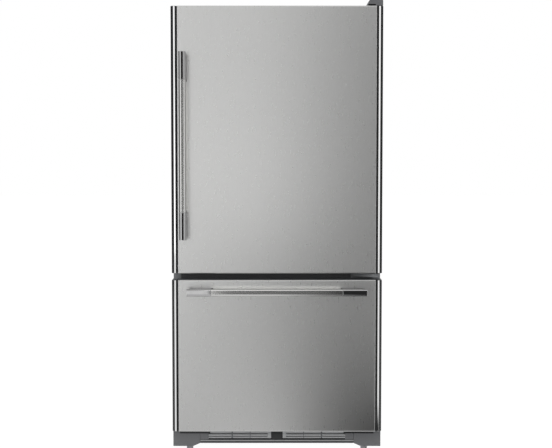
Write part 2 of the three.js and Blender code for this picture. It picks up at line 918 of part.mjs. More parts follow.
// The lid: a curved plate under a hinge barrel with a pin at each end.
function dairyLid() {
  const [y, z] = dairyPivot;
  const low = dairyFloor + 2;
  const thickness = 2.5;
  const outer = arc([y - 14, (z + low) / 2], [18, (z - low) / 2], 90, -90, 8);
  const inner = arc([y - 14, (z + low) / 2], [18 - thickness, (z - low) / 2 - thickness], -90, 90, 8);
  return join(
    prism("x", [...outer, ...inner], [-lidX, lidX]),
    prism("x", [[y - 15, z - 5], [y, z - 5], [y, z], [y - 15, z]], [-lidX, lidX]),
    rod("x", 5, [-lidX, lidX], [0, y, z], 12),
    rod("x", 3, [-lidX - 4, lidX + 4], [0, y, z], 12),
  );
}

function doorBin(number) {
  const top = dairyFloor - binGap - number * binPitch;
  const x = dykeInnerX - gap;
  const rear = doorBack + gap;
  return tub([-x, x], [rear, rear + binReach], [top - binHeight, top], binWall);
}

// ---- fresh food space ----

// A glass shelf in its frame.
function shelf(number) {
  const low = shelfBottom(number);
  const high = low + shelfFrame;
  const x = insideX - runGap;
  const bar = shelfFrameWidth;
  const frame = cut(
    block([-x, x], [shelfFront, shelfRear], [low, high]),
    block([-x + bar, x - bar], [shelfFront + bar, shelfRear - bar], [low - 1, high - shelfGlass]),
  );
  return frame;
}

// The glass cover over the crispers, with the divider that their inner edges run along.
function crisperCover() {
  const x = insideX - runGap;
  const half = dividerWidth / 2;
  const bar = shelfFrameWidth;
  const cover = cut(
    block([-x, x], [shelfFront, shelfRear], [crisperCoverBottom, crisperCoverTop]),
    block(
      [-x + bar, x - bar],
      [shelfFront + bar, shelfRear - bar],
      [crisperCoverBottom - 1, crisperCoverTop - shelfGlass],
    ),
  );
  const divider = block(
    [-half, half],
    [shelfFront + 20, shelfRear - 5],
    [freshFloor + gap, crisperCoverTop - 2],
  );
  return join(cover, divider);
}

function crisper(side) {
  const low = freshFloor + gap;
  const inner = dividerWidth / 2 + runGap;
  const outer = insideX - runGap;
  const x = [side * inner, side * outer].sort((a, b) => a - b);
  const front = shelfFront + crisperLip;
  const top = low + crisperHeight;
  const grip = block(x, [shelfFront, front + 1], [top - 30, top]);
  return join(tub(x, [front, shelfRear], [low, top], crisperWall), grip);
}

const controlFront = cabinetFront + controlSetback;
const controlBottom = freshCeiling - controlHeight;
const knobAt = [controlWidth / 4, controlFront, controlBottom + controlHeight / 2];

// The control and lamp housing under the fresh food ceiling.
function controlBox() {
  const outline = [
    [controlFront, controlBottom],
    [controlFront + controlDepth - 40, controlBottom],
    [controlFront + controlDepth, controlBottom + 26],
    [controlFront + controlDepth, freshCeiling - gap],
    [controlFront, freshCeiling - gap],
  ];
  return prism("x", outline, [-controlWidth / 2, controlWidth / 2]);
}

// The round knob with its pointer rib.
function controlKnob() {
  const dial = rod("y", knobRadius, [-knobDepth + 4, -gap], knobAt, 24);
  const [x, y, z] = knobAt;
  const rib = block([x - 2.5, x + 2.5], [y - knobDepth, y - 5], [z - knobRadius + 1, z + knobRadius - 1]);
  return join(dial, rib);
}

// ---- freezer space ----

const evaporatorFanZ = freezerCeiling - 85;

// The panel in front of the evaporator: a fan mouth with its motor on three arms, and slots.
function evaporatorCover() {
  const x = insideX - gap;
  const y = [coverY, coverY + coverSheet];
  const centre = [0, coverY, evaporatorFanZ];
  const slots = [-2, -1, 0, 1, 2].map((column) =>
    block([column * 110 - 40, column * 110 + 40], [y[0] - 1, y[1] + 1], [stepFloor + 14, stepFloor + 24]),
  );
  const panel = cut(
    block([-x, x], y, [stepFloor + gap, freezerCeiling - gap]),
    rod("y", fanRadius + 6, [-1, coverSheet + 1], centre, 32),
    ...slots,
  );
  const arms = [0, 60, 120].map((angle) => {
    const arm = new THREE.BoxGeometry(2 * fanRadius + 24, 4, 6).rotateY(THREE.MathUtils.degToRad(angle));
    return solid(arm.translate(0, coverY + 3, evaporatorFanZ));
  });
  return join(panel, ...arms, rod("y", 16, [1, 22], centre));
}

function evaporatorCoil() {
  const y = freezerRear - evaporatorRoom / 2 + 2;
  const low = stepFloor + 18;
  const reach = insideX - 75;
  const room = evaporatorFanZ - fanRadius - evaporatorClearance - low;
  const runs = Math.max(1, Math.floor(room / evaporatorPitch));
  const plates = [-1, 1].map((side) => {
    const x = [side * (reach - 16), side * (reach - 13)].sort((a, b) => a - b);
    return block(x, [y - 18, y + 18], [stepFloor + gap, low + runs * evaporatorPitch - 16]);
  });
  return join(serpentine([-reach, reach], y, low, runs, evaporatorPitch, 5), ...plates);
}

const slideFront = cabinetFront + 19;
const slideRear = coverY - 17;
const railOuter = insideX - gap - 2 * slideMember;
const railInner = railOuter - railWidth;
const railFoot = 8;

// One telescopic member, counted inwards from the freezer wall: a strip with a groove in its face.
function slideStrip(number, y) {
  const outer = insideX - gap - number * slideMember;
  const inner = outer - slideMember + gap;
  const z = [slideBottom, slideBottom + slideHeight];
  const groove = block([inner - 1, inner + 3], [y[0] - 1, y[1] + 1], [z[0] + 10, z[1] - 10]);
  return cut(block([inner, outer], y, z), groove);
}

// The drawer's own rail: it runs in the slide and carries the basket, with a foot on the door.
function drawerRail() {
  const z = [slideBottom, slideBottom + slideHeight];
  const front = doorBack + gap;
  return join(
    block([railInner, railOuter], [front, slideRear - 28], z),
    block([railInner - railFoot, railOuter], [front, front + 5], [z[0] - 25, z[1] + 25]),
  );
}

function freezerBasket() {
  const y = [doorBack + drawerDykeDepth + 4, lowerRear - 15];
  const rim = slideBottom + slideHeight + gap;
  const x = railInner - 2 * gap;
  const body = tub([-x, x], y, [freezerFloor + basketFloorRise, rim + basketRim], basketWall);
  const flange = railOuter - 1;
  const inner = x - basketWall;
  const rims = cut(
    block([-flange, flange], y, [rim, rim + basketRim]),
    block([-inner, inner], [y[0] + basketWall, y[1] - basketWall], [rim - 1, rim + basketRim + 1]),
  );
  return join(body, rims);
}

function upperBasket() {
  const x = insideX - ledgeReach - runGap;
  const flange = insideX - 2;
  const y = [cabinetFront + 36, coverY - 13];
  const z = [slideBottom + slideHeight + basketClearance, upperRimTop];
  const inner = x - basketWall;
  const rims = cut(
    block([-flange, flange], y, [upperRimTop - basketRim, upperRimTop]),
    block([-inner, inner], [y[0] + basketWall, y[1] - basketWall], [z[0], z[1] + 1]),
  );
  return join(tub([-x, x], y, z, basketWall), rims);
}

// ---- the assembly ----

function addPair(group, name, finish, right) {
  piece(group, name + "_right", finish, right);
  piece(group, name + "_left", finish, mirrored(right));
}

function addCabinet() {
  piece(refrigerator, "cabinet_shell", "greyPaint", cabinetShell());
  piece(refrigerator, "cabinet_foam", "foam", cabinetFoam());
  piece(refrigerator, "fresh_food_liner", "whitePlastic", freshFoodLiner());
  piece(refrigerator, "freezer_liner", "whitePlastic", freezerLiner());
  piece(refrigerator, "centre_rail", "greyPaint", centreRail());
  piece(refrigerator, "base_frame", "steel", baseFrame());
  piece(refrigerator, "base_grille", "greyPlastic", baseGrille());
  addPair(refrigerator, "corner_cover", "greyPlastic", cornerCover());
  addPair(refrigerator, "levelling_leg", "greyPlastic", levellingLeg(1));
  addPair(refrigerator, "rear_roller", "blackPaint", rearRoller(1));
  piece(refrigerator, "top_hinge_bracket", "steel", topHingeBracket());
  piece(refrigerator, "top_hinge_cover", "greyPlastic", hingeCover());
  piece(refrigerator, "centre_hinge_bracket", "steel", centreHingeBracket());
}

function addMachinery() {
  const fanAt = [fanX - 17, coilY, fanZ];
  piece(refrigerator, "compressor", "blackPaint", compressor());
  piece(refrigerator, "condenser_coil", "copper", condenserCoil());
  piece(refrigerator, "condenser_fan_motor", "steel", condenserFanMotor());
  piece(refrigerator, "condenser_fan", "greyPlastic", axialFan("x", condenserFanRadius, 20, [0, 19.6], fanAt));
  piece(refrigerator, "machine_cover", "greyPaint", machineCover());
}

function addFreshFoodSpace() {
  piece(refrigerator, "control_box", "whitePlastic", controlBox());
  piece(refrigerator, "control_knob", "greyPlastic", controlKnob());
  piece(refrigerator, "shelf_lower", "clearPlastic", shelf(1));
  piece(refrigerator, "shelf_upper", "clearPlastic", shelf(2));
  piece(refrigerator, "crisper_cover", "clearPlastic", crisperCover());
  addPair(refrigerator, "crisper", "clearPlastic", crisper(1));
}

function addFreezerSpace() {
  const fanAt = [0, coverY + 37, evaporatorFanZ];
  piece(refrigerator, "evaporator_cover", "whitePlastic", evaporatorCover());
  piece(refrigerator, "evaporator_coil", "steel", evaporatorCoil());
  piece(refrigerator, "evaporator_fan", "greyPlastic", axialFan("y", fanRadius, 15, [-14.5, 0], fanAt));
  addPair(refrigerator, "slide_outer", "steel", slideStrip(0, [slideFront, slideRear]));
  addPair(refrigerator, "slide_middle", "steel", slideStrip(1, [slideFront, slideRear]));
  piece(refrigerator, "freezer_upper_basket", "clearPlastic", upperBasket());
}

function addFridgeDoor() {
  const span = [doorBottom, doorTop];
  const inner = join(doorLiner(...span, dykeX, dykeDepth), dairyWalls());
  const sealTop = cabinetTop - gasketEndInset - 1;
  piece(fridgeDoor, "fridge_door_panel", "stainless", doorPanel(...span));
  piece(fridgeDoor, "fridge_door_foam", "foam", cut(doorFoam(...span), ...pinHoles()));
  piece(fridgeDoor, "fridge_door_liner", "whitePlastic", cut(inner, ...pinHoles()));
  piece(fridgeDoor, "fridge_door_gasket", "gasket", gasket(doorBottom + gasketEndInset, sealTop));
  addPair(fridgeDoor, "fridge_trim", "chrome", sideTrim(...span));
  const [bar, upper, lower] = fridgeHandle();
  piece(fridgeDoor, "fridge_handle_bar", "handle", bar);
  piece(fridgeDoor, "fridge_handle_mount_upper", "handle", upper);
  piece(fridgeDoor, "fridge_handle_mount_lower", "handle", lower);
  piece(fridgeDoor, "door_bin_upper", "clearPlastic", doorBin(0));
  piece(fridgeDoor, "door_bin_lower", "clearPlastic", doorBin(1));
  piece(fridgeDoor, "dairy_lid", "clearPlastic", dairyLid());
}

function addFreezerDrawer() {
  const span = [drawerBottom, drawerTop];
  const seal = [drawerBottom + gasketEndInset, drawerTop - gasketEndInset];
  piece(freezerDrawer, "freezer_door_panel", "stainless", doorPanel(...span));
  piece(freezerDrawer, "freezer_door_foam", "foam", doorFoam(...span));
  const dyke = [railInner - railFoot - gap, drawerDykeDepth];
  piece(freezerDrawer, "freezer_door_liner", "whitePlastic", doorLiner(...span, ...dyke));
  piece(freezerDrawer, "freezer_door_gasket", "gasket", gasket(...seal));
  addPair(freezerDrawer, "freezer_trim", "chrome", sideTrim(...span));
  const [bar, left, right] = drawerHandle();
  piece(freezerDrawer, "freezer_handle_bar", "handle", bar);
  piece(freezerDrawer, "freezer_handle_mount_left", "handle", left);
  piece(freezerDrawer, "freezer_handle_mount_right", "handle", right);
  addPair(freezerDrawer, "drawer_rail", "steel", drawerRail());
  piece(freezerDrawer, "freezer_basket", "clearPlastic", freezerBasket());
}

addCabinet();
addMachinery();
addFreshFoodSpace();
addFreezerSpace();
addFridgeDoor();
addFreezerDrawer();

export default refrigerator;
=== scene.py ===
# The looks of a bottom freezer refrigerator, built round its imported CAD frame.
# Shapes are worked out in millimetres and put into their meshes in metres. Fronts face -Y.
import json
import math

import bmesh
import bpy
import numpy as np
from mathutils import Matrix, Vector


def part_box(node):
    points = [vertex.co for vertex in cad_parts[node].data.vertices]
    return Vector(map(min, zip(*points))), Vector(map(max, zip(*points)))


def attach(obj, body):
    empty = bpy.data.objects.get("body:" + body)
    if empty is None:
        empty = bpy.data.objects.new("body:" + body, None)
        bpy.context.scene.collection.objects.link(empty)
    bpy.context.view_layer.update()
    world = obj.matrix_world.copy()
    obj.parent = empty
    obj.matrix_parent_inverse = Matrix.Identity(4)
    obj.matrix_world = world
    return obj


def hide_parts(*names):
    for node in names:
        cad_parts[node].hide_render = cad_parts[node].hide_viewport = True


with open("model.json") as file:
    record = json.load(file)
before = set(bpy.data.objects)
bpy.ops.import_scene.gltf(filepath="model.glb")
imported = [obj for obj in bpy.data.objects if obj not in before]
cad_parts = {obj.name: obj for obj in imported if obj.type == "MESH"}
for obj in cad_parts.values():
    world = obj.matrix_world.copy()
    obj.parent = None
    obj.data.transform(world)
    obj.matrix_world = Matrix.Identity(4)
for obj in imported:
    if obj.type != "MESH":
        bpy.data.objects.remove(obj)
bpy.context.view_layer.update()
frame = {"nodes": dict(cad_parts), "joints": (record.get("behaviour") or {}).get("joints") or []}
print("frame loaded,", len(frame["nodes"]), "nodes")


# Lowest and highest corner of a CAD node in millimetres.
def spanOf(node):
    low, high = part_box(node)
    return np.array(low) * 1000, np.array(high) * 1000


# A joint's point in millimetres.
def jointAt(name):
    joint = next(joint for joint in frame["joints"] if joint["name"] == name)
    return [value * 1000 for value in joint["pos_m"]]


# Several values of a look.
def pick(look, *keys):
    return [look[key] for key in keys]


# Points on an ellipse from one angle to another, in degrees.
def arc(centre, radii, start, end, steps=6):
    turn = np.radians(np.linspace(start, end, steps + 1))
    return np.stack([centre[0] + radii[0] * np.cos(turn), centre[1] + radii[1] * np.sin(turn)], -1)


# Angles of evenly spaced points round a circle.
def fullTurn(sides):
    return np.linspace(0, 2 * np.pi, sides, endpoint=False)[None, :]


# A rounded rectangle's corners: which sides each lies on, and the angles round each of them.
def cornerTurns(steps):
    turn = np.radians(np.arange(4)[:, None] * 90 + np.linspace(0, 90, steps + 1)[None, :])
    return np.array([1, -1, -1, 1])[:, None], np.array([1, 1, -1, -1])[:, None], turn


# Where an axis stands among x, y and z, and where the other two do.
def axisOrder(axis):
    k = "xyz".index(axis)
    return k, *(i for i in range(3) if i != k)


# A grid of points (rows, columns, 3) as a surface: neighbouring points make quads, rows close on
# themselves unless open, and the first and last row are filled with one face each if capped.
def surface(points, closed=True, capped=True):
    rows, columns = points.shape[:2]
    row = np.arange(rows - 1)[:, None] * columns
    here = np.arange(columns if closed else columns - 1)[None, :]
    there = (here + 1) % columns
    quads = np.stack([row + here, row + there, row + columns + there, row + columns + here], -1)
    faces = quads.reshape(-1, 4).tolist()
    if capped:
        last = (rows - 1) * columns
        faces += [list(range(columns))[::-1], list(range(last, last + columns))]
    return points.reshape(-1, 3), faces


# Plane coordinates and a place along an axis, put in x, y, z order.
def inOrder(across, up, along, axis):
    across, up, along = np.broadcast_arrays(across, up, along)
    order = {"x": (along, across, up), "y": (across, along, up), "z": (across, up, along)}
    return np.stack(order[axis], -1)


# Rounded rectangles stacked along an axis. A station is (place, half width, half height, corner
# radius, and maybe a shift of its middle), and a corner point is the corner's centre plus its
# radius times (cos t, sin t).
def ringStack(stations, centre, axis, steps=5):
    stations = np.array(stations, float)
    place, halfU, halfV, radius = stations.T[:4, :, None, None]
    shift = stations[:, 4:5, None] if stations.shape[1] > 4 else 0
    sideU, sideV, turn = cornerTurns(steps)
    radius = np.minimum(radius, np.minimum(halfU, halfV))
    u = centre[0] + sideU * (halfU - radius) + radius * np.cos(turn)
    v = centre[1] + shift + sideV * (halfV - radius) + radius * np.sin(turn)
    u, v = (grid.reshape(len(stations), -1) for grid in (u, v))
    return surface(inOrder(u, v, place[:, :, 0], axis))


# A block between two corners with rounded corners and edges: the inset of each end's rings follows
# a quarter circle.
def slab(low, high, axis="z", corner=4, edge=1, steps=4):
    low, high = np.array(low, float), np.array(high, float)
    k, a, b = axisOrder(axis)
    half, middle = (high - low) / 2, (high + low) / 2
    turn = np.linspace(0, np.pi / 2, steps + 1)
    inset, rise = edge * (1 - np.sin(turn)), edge * (1 - np.cos(turn))
    inset, rise = np.append(edge * 1.4, inset), np.append(0, rise)
    sizes = [(half[a] - i, half[b] - i, max(corner - i, 0.2)) for i in inset]
    near = [(low[k] + r, *size) for r, size in zip(rise, sizes)]
    far = [(high[k] - r, *size) for r, size in zip(rise, sizes)]
    return ringStack(near + far[::-1], (middle[a], middle[b]), axis)


# An open tub: rings go up the outside, over a rounded rim and down the inside, and the walls draw
# in towards the floor. A floor's outermost ring lies 1.3 of its rounding inwards.
def tub(low, high, wall=2.5, corner=18, draft=6, floorRound=10, lip=0, lipDepth=6):
    low, high = np.array(low, float), np.array(high, float)
    half, middle = (high - low) / 2, (high + low) / 2
    height = high[2] - low[2]
    turn = np.radians(np.linspace(0, 90, 6))
    over = np.radians(np.linspace(0, 180, 7))

    def ring(z, inset, corner=corner):
        pull = inset + draft * (1 - (z - low[2]) / height) + lip
        return (z, half[0] - pull, half[1] - pull, max(corner - inset, 1))

    quarter = [(floorRound * (1 - math.cos(t)), floorRound * (1 - math.sin(t))) for t in turn]
    outside = [ring(low[2], floorRound * 1.3)]
    outside += [ring(low[2] + rise, inset) for rise, inset in quarter]
    if lip:
        top, under = high[2], high[2] - lipDepth
        outside += [ring(under, 0), ring(under, 1 - lip)]
        outside += [ring(under + 1, -lip), ring(top - 1, -lip)]
        rim = [ring(top, 1 - lip), ring(top, wall - 0.6), ring(top - 0.6, wall)]
    else:
        bend = wall / 2
        rim = [ring(high[2] - bend + bend * math.sin(t), bend * (1 - math.cos(t))) for t in over]
    floor = low[2] + wall
    inside = [ring(floor + rise, wall + inset) for inset, rise in quarter]
    inside.append(ring(floor, wall + floorRound * 1.3))
    return ringStack(outside + rim + inside, (middle[0], middle[1]), "z")


# A closed section drawn straight along an axis. At each end it shrinks by a quarter circle.
def drawn(section, axis, low, high, ease=0.0, steps=3):
    section = np.array(section, float)
    middle = (section.max(0) + section.min(0)) / 2
    half = (section.max(0) - section.min(0)) / 2
    turn = np.linspace(0, np.pi / 2, steps + 1) if ease else np.array([np.pi / 2])
    shrink, rise = ease * (1 - np.sin(turn)), ease * (1 - np.cos(turn))
    places = np.concatenate([low + rise, high - rise[::-1]])
    shrink = np.concatenate([shrink, shrink[::-1]])
    scale = 1 - shrink[:, None, None] / half[None, None, :]
    rings = middle + (section - middle)[None] * scale
    return surface(inOrder(rings[..., 0], rings[..., 1], places[:, None], axis))


# A round tube along points: each ring lies square to the path, on a fixed side direction.
def tube(path, radius, side=(0, 1, 0), sides=10):
    path, side = np.array(path, float), np.array(side, float)
    tangent = np.gradient(path, axis=0)
    tangent /= np.linalg.norm(tangent, axis=1)[:, None]
    up = np.cross(tangent, side)
    up /= np.linalg.norm(up, axis=1)[:, None]
    turn = fullTurn(sides)[..., None]
    rings = path[:, None] + radius * (np.cos(turn) * side + np.sin(turn) * up[:, None])
    return surface(rings)


# A profile of (radius, height) turned about an axis through a centre. The radius may swell in
# lobes: r times (1 + depth cos(lobes t)).
def turned(profile, centre, axis="z", sides=40, lobes=0, depth=0.0):
    radius, height = np.array(profile, float).T
    turn = fullTurn(sides)
    swell = radius[:, None] * (1 + depth * np.cos(lobes * turn))
    k, a, b = axisOrder(axis)
    across = centre[a] + swell * np.cos(turn)
    up = centre[b] + swell * np.sin(turn)
    return surface(inOrder(across, up, centre[k] + height[:, None], axis))


# A closed section of (inset, depth) points carried round a rounded rectangle square to an axis.
# Insets run towards the rectangle's middle, depths along the axis.
def carriedRound(section, low, high, corner, steps=5, axis="y"):
    inset, depth = np.array(section, float).T
    half = (np.array(high, float) - low) / 2
    middle = (np.array(high, float) + low) / 2
    sideU, sideV, turn = cornerTurns(steps)
    radius = np.maximum(corner - inset, 0.3)[:, None, None]
    reachU = half[0] - inset[:, None, None] - radius
    reachV = half[1] - inset[:, None, None] - radius
    x = (middle[0] + sideU * reachU + radius * np.cos(turn)).reshape(len(inset), -1)
    z = (middle[1] + sideV * reachV + radius * np.sin(turn)).reshape(len(inset), -1)
    points = inOrder(x, z, depth[:, None], axis)
    return surface(np.concatenate([points, points[:1]]), capped=False)


def mirrored(part):
    points, faces = part
    return points * [-1, 1, 1], [face[::-1] for face in faces]


# Parts of the right side, each followed by its mirror image.
def bothSides(*parts):
    return [side for part in parts for side in (part, mirrored(part))]


def combined(*parts):
    points, faces, count = [], [], 0
    for partPoints, partFaces in parts:
        points.append(partPoints)
        faces += [[index + count for index in face] for face in partFaces]
        count += len(partPoints)
    return np.concatenate(points), faces


meshLook = {
    "merge": 1e-6,  # metres within which points are one
    "mergeCopy": 1e-5,  # the same for the loose triangles of a CAD node
    "flatWithin": 1,  # degrees within which a CAD node's triangles are one flat
    "bevelFrom": 40,  # degrees from which an edge is rounded
    "flatWeight": 90,
}


def newMesh(name, part):
    points, faces = part
    mesh = bpy.data.meshes.new(name)
    mesh.from_pydata((points / 1000).tolist(), [], faces)
    return mesh


def newObject(name, content):
    item = bpy.data.objects.new(name, content)
    bpy.context.scene.collection.objects.link(item)
    return item


# A mesh made the object's piece: doubles merged, normals outwards, creases past the sharp angle,
# edges rounded where a width is given, and flats shaded flat beside small roundings.
def finishPiece(name, mesh, finish, body, replaced, sharp, width=0, segments=2):
    work = bmesh.new()
    work.from_mesh(mesh)
    bmesh.ops.remove_doubles(work, verts=work.verts, dist=meshLook["merge"])
    bmesh.ops.recalc_face_normals(work, faces=work.faces)
    work.to_mesh(mesh)
    work.free()
    mesh.shade_smooth()
    mesh.set_sharp_from_angle(angle=math.radians(sharp))
    piece = newObject(name, mesh)
    material, slotName = finishes[finish]
    mesh.materials.append(material)
    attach(piece, body)
    if replaced:
        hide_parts(*replaced)
    if width:
        bevel = piece.modifiers.new("edges", "BEVEL")
        bevel.width = width / 1000
        bevel.segments = segments
        bevel.limit_method = "ANGLE"
        bevel.angle_limit = math.radians(meshLook["bevelFrom"])
    flats = piece.modifiers.new("flats", "WEIGHTED_NORMAL")
    flats.keep_sharp = True
    flats.weight = meshLook["flatWeight"]


def addPiece(name, part, finish, body, replaced=(), sharp=35):
    finishPiece(name, newMesh(name, part), finish, body, replaced, sharp)


# A CAD node that stays as it is and gets its finish.
def keepNode(node, finish):
    mesh = frame["nodes"][node].data
    mesh.materials.clear()
    mesh.materials.append(finishes[finish][0])


# Nodes whose CAD form stays and whose edges are rounded: finish, body, edge width and segments.
roundedLook = {
    "cabinet_shell": ("pebblePaint", "cabinet", 3, 3),
    # The rail's dark paint is partly painted shade of the gap between the doors.
    "centre_rail": ("darkPaintAndGapShade", "cabinet", 0.3, 2),
    "base_frame": ("galvanised", "cabinet", 0.5, 2),
    "corner_cover_right": ("greyMoulding", "cabinet", 2, 3),
    "corner_cover_left": ("greyMoulding", "cabinet", 2, 3),
    "machine_cover": ("galvanised", "cabinet", 0.6, 2),
    "top_hinge_bracket": ("zincSlide", "cabinet", 0.8, 2),
    "top_hinge_cover": ("charcoalMoulding", "cabinet", 3, 3),
    "centre_hinge_bracket": ("pebblePaint", "cabinet", 0.8, 2),
    "condenser_fan_motor": ("blackEnamel", "cabinet", 0.6, 2),
    "condenser_coil": ("blackEnamel", "cabinet", 0.2, 1),
    "evaporator_coil": ("millAluminium", "cabinet", 0.2, 1),
    "control_box": ("whiteMoulding", "cabinet", 4, 3),
    "drawer_rail_right": ("zincSlide", "freezer_drawer", 1.2, 2),
    "drawer_rail_left": ("zincSlide", "freezer_drawer", 1.2, 2),
    "evaporator_cover": ("whiteMoulding", "cabinet", 0.7, 2),
}


# A copy of a CAD node, merged, its flats joined and its edges rounded. The part of its rear face
# above a height may be pressed in by (inset, depth, height).
def addRounded(node, press=None):
    finish, body, width, segments = roundedLook[node]
    work = bmesh.new()
    work.from_mesh(frame["nodes"][node].data)
    bmesh.ops.remove_doubles(work, verts=work.verts, dist=meshLook["mergeCopy"])
    flat = math.radians(meshLook["flatWithin"])
    bmesh.ops.dissolve_limit(work, angle_limit=flat, verts=work.verts, edges=work.edges)
    if press:
        inset, depth, height = (value / 1000 for value in press)
        everything = list(work.verts) + list(work.edges) + list(work.faces)
        bmesh.ops.bisect_plane(work, geom=everything, plane_co=(0, 0, height), plane_no=(0, 0, 1))
        rearFaces = [face for face in work.faces if face.normal.y > 0.9]
        rear = max(rearFaces, key=lambda face: face.calc_area())
        bmesh.ops.inset_region(work, faces=[rear], thickness=inset)
        bmesh.ops.inset_region(work, faces=[rear], thickness=depth * 2, depth=-depth)
    mesh = bpy.data.meshes.new(node)
    work.to_mesh(mesh)
    work.free()
    mesh.materials.clear()
    finishPiece(node + "_rounded", mesh, finish, body, [node], 40, width, segments)


# An sRGB hex colour as linear light.
def colour(code):
    value = np.array([int(code[i : i + 2], 16) for i in (0, 2, 4)]) / 255
    linear = np.where(value <= 0.04045, value / 12.92, ((value + 0.055) / 1.055) ** 2.4)
    return (*linear.tolist(), 1.0)


# Adds a node and gives its outputs: inputs are sockets to link or values to set, the rest are its
# settings.
def addNode(tree, kind, inputs=None, **settings):
    node = tree.nodes.new("ShaderNode" + kind)
    for key, value in settings.items():
        setattr(node, key, value)
    for key, value in (inputs or {}).items():
        if isinstance(value, bpy.types.NodeSocket):
            tree.links.new(value, node.inputs[key])
        else:
            node.inputs[key].default_value = value
    return node.outputs


# A new material whose nodes are still to be added.
def emptyMaterial(name):
    material = bpy.data.materials.new(name)
    material.use_nodes = True
    material.node_tree.nodes.clear()
    return material, material.node_tree


patternRange = {1: 0.25, 2: 0.75}  # what part of a pattern's values makes its full swing


# A finish whose pattern is noise or cells of a real size in millimetres along x, y and z. The
# pattern mixes two close colours, swings the roughness and lifts the surface by a bump.
def makeFinish(recipe):
    material, tree = emptyMaterial(recipe["name"])
    place = addNode(tree, "TexCoord")["Object"]
    scale = tuple(1000 / np.broadcast_to(recipe["grainMm"], 3))
    place = addNode(tree, "Mapping", {"Vector": place, "Scale": scale})[0]
    inputs = {"Vector": place, "Scale": 1.0}
    if recipe.get("cells"):
        pattern = addNode(tree, "TexVoronoi", inputs, feature="F1")
        amount = pattern["Distance" if recipe["cells"] == "round" else "Color"]
    else:
        inputs["Detail"] = recipe.get("detail", 3.0)
        amount = addNode(tree, "TexNoise", inputs)[0]
    inputs = {0: amount, **patternRange}
    low, high = recipe["roughness"]
    swing = addNode(tree, "MapRange", inputs)[0]
    rough = addNode(tree, "MapRange", {**inputs, 3: low, 4: high})[0]
    first, second = (colour(code) for code in recipe["colours"])
    mix = addNode(tree, "Mix", {0: swing, 6: first, 7: second}, data_type="RGBA")
    inputs = {"Base Color": mix[2], "Roughness": rough, **recipe.get("shader", {})}
    if recipe.get("bumpMm"):
        bump = {"Height": swing, "Distance": recipe["bumpMm"] / 1000, "Strength": 1.0}
        inputs["Normal"] = addNode(tree, "Bump", bump)[0]
    shader = addNode(tree, "BsdfPrincipled", inputs)
    addNode(tree, "OutputMaterial", {"Surface": shader[0]})
    return material, recipe["slot"]


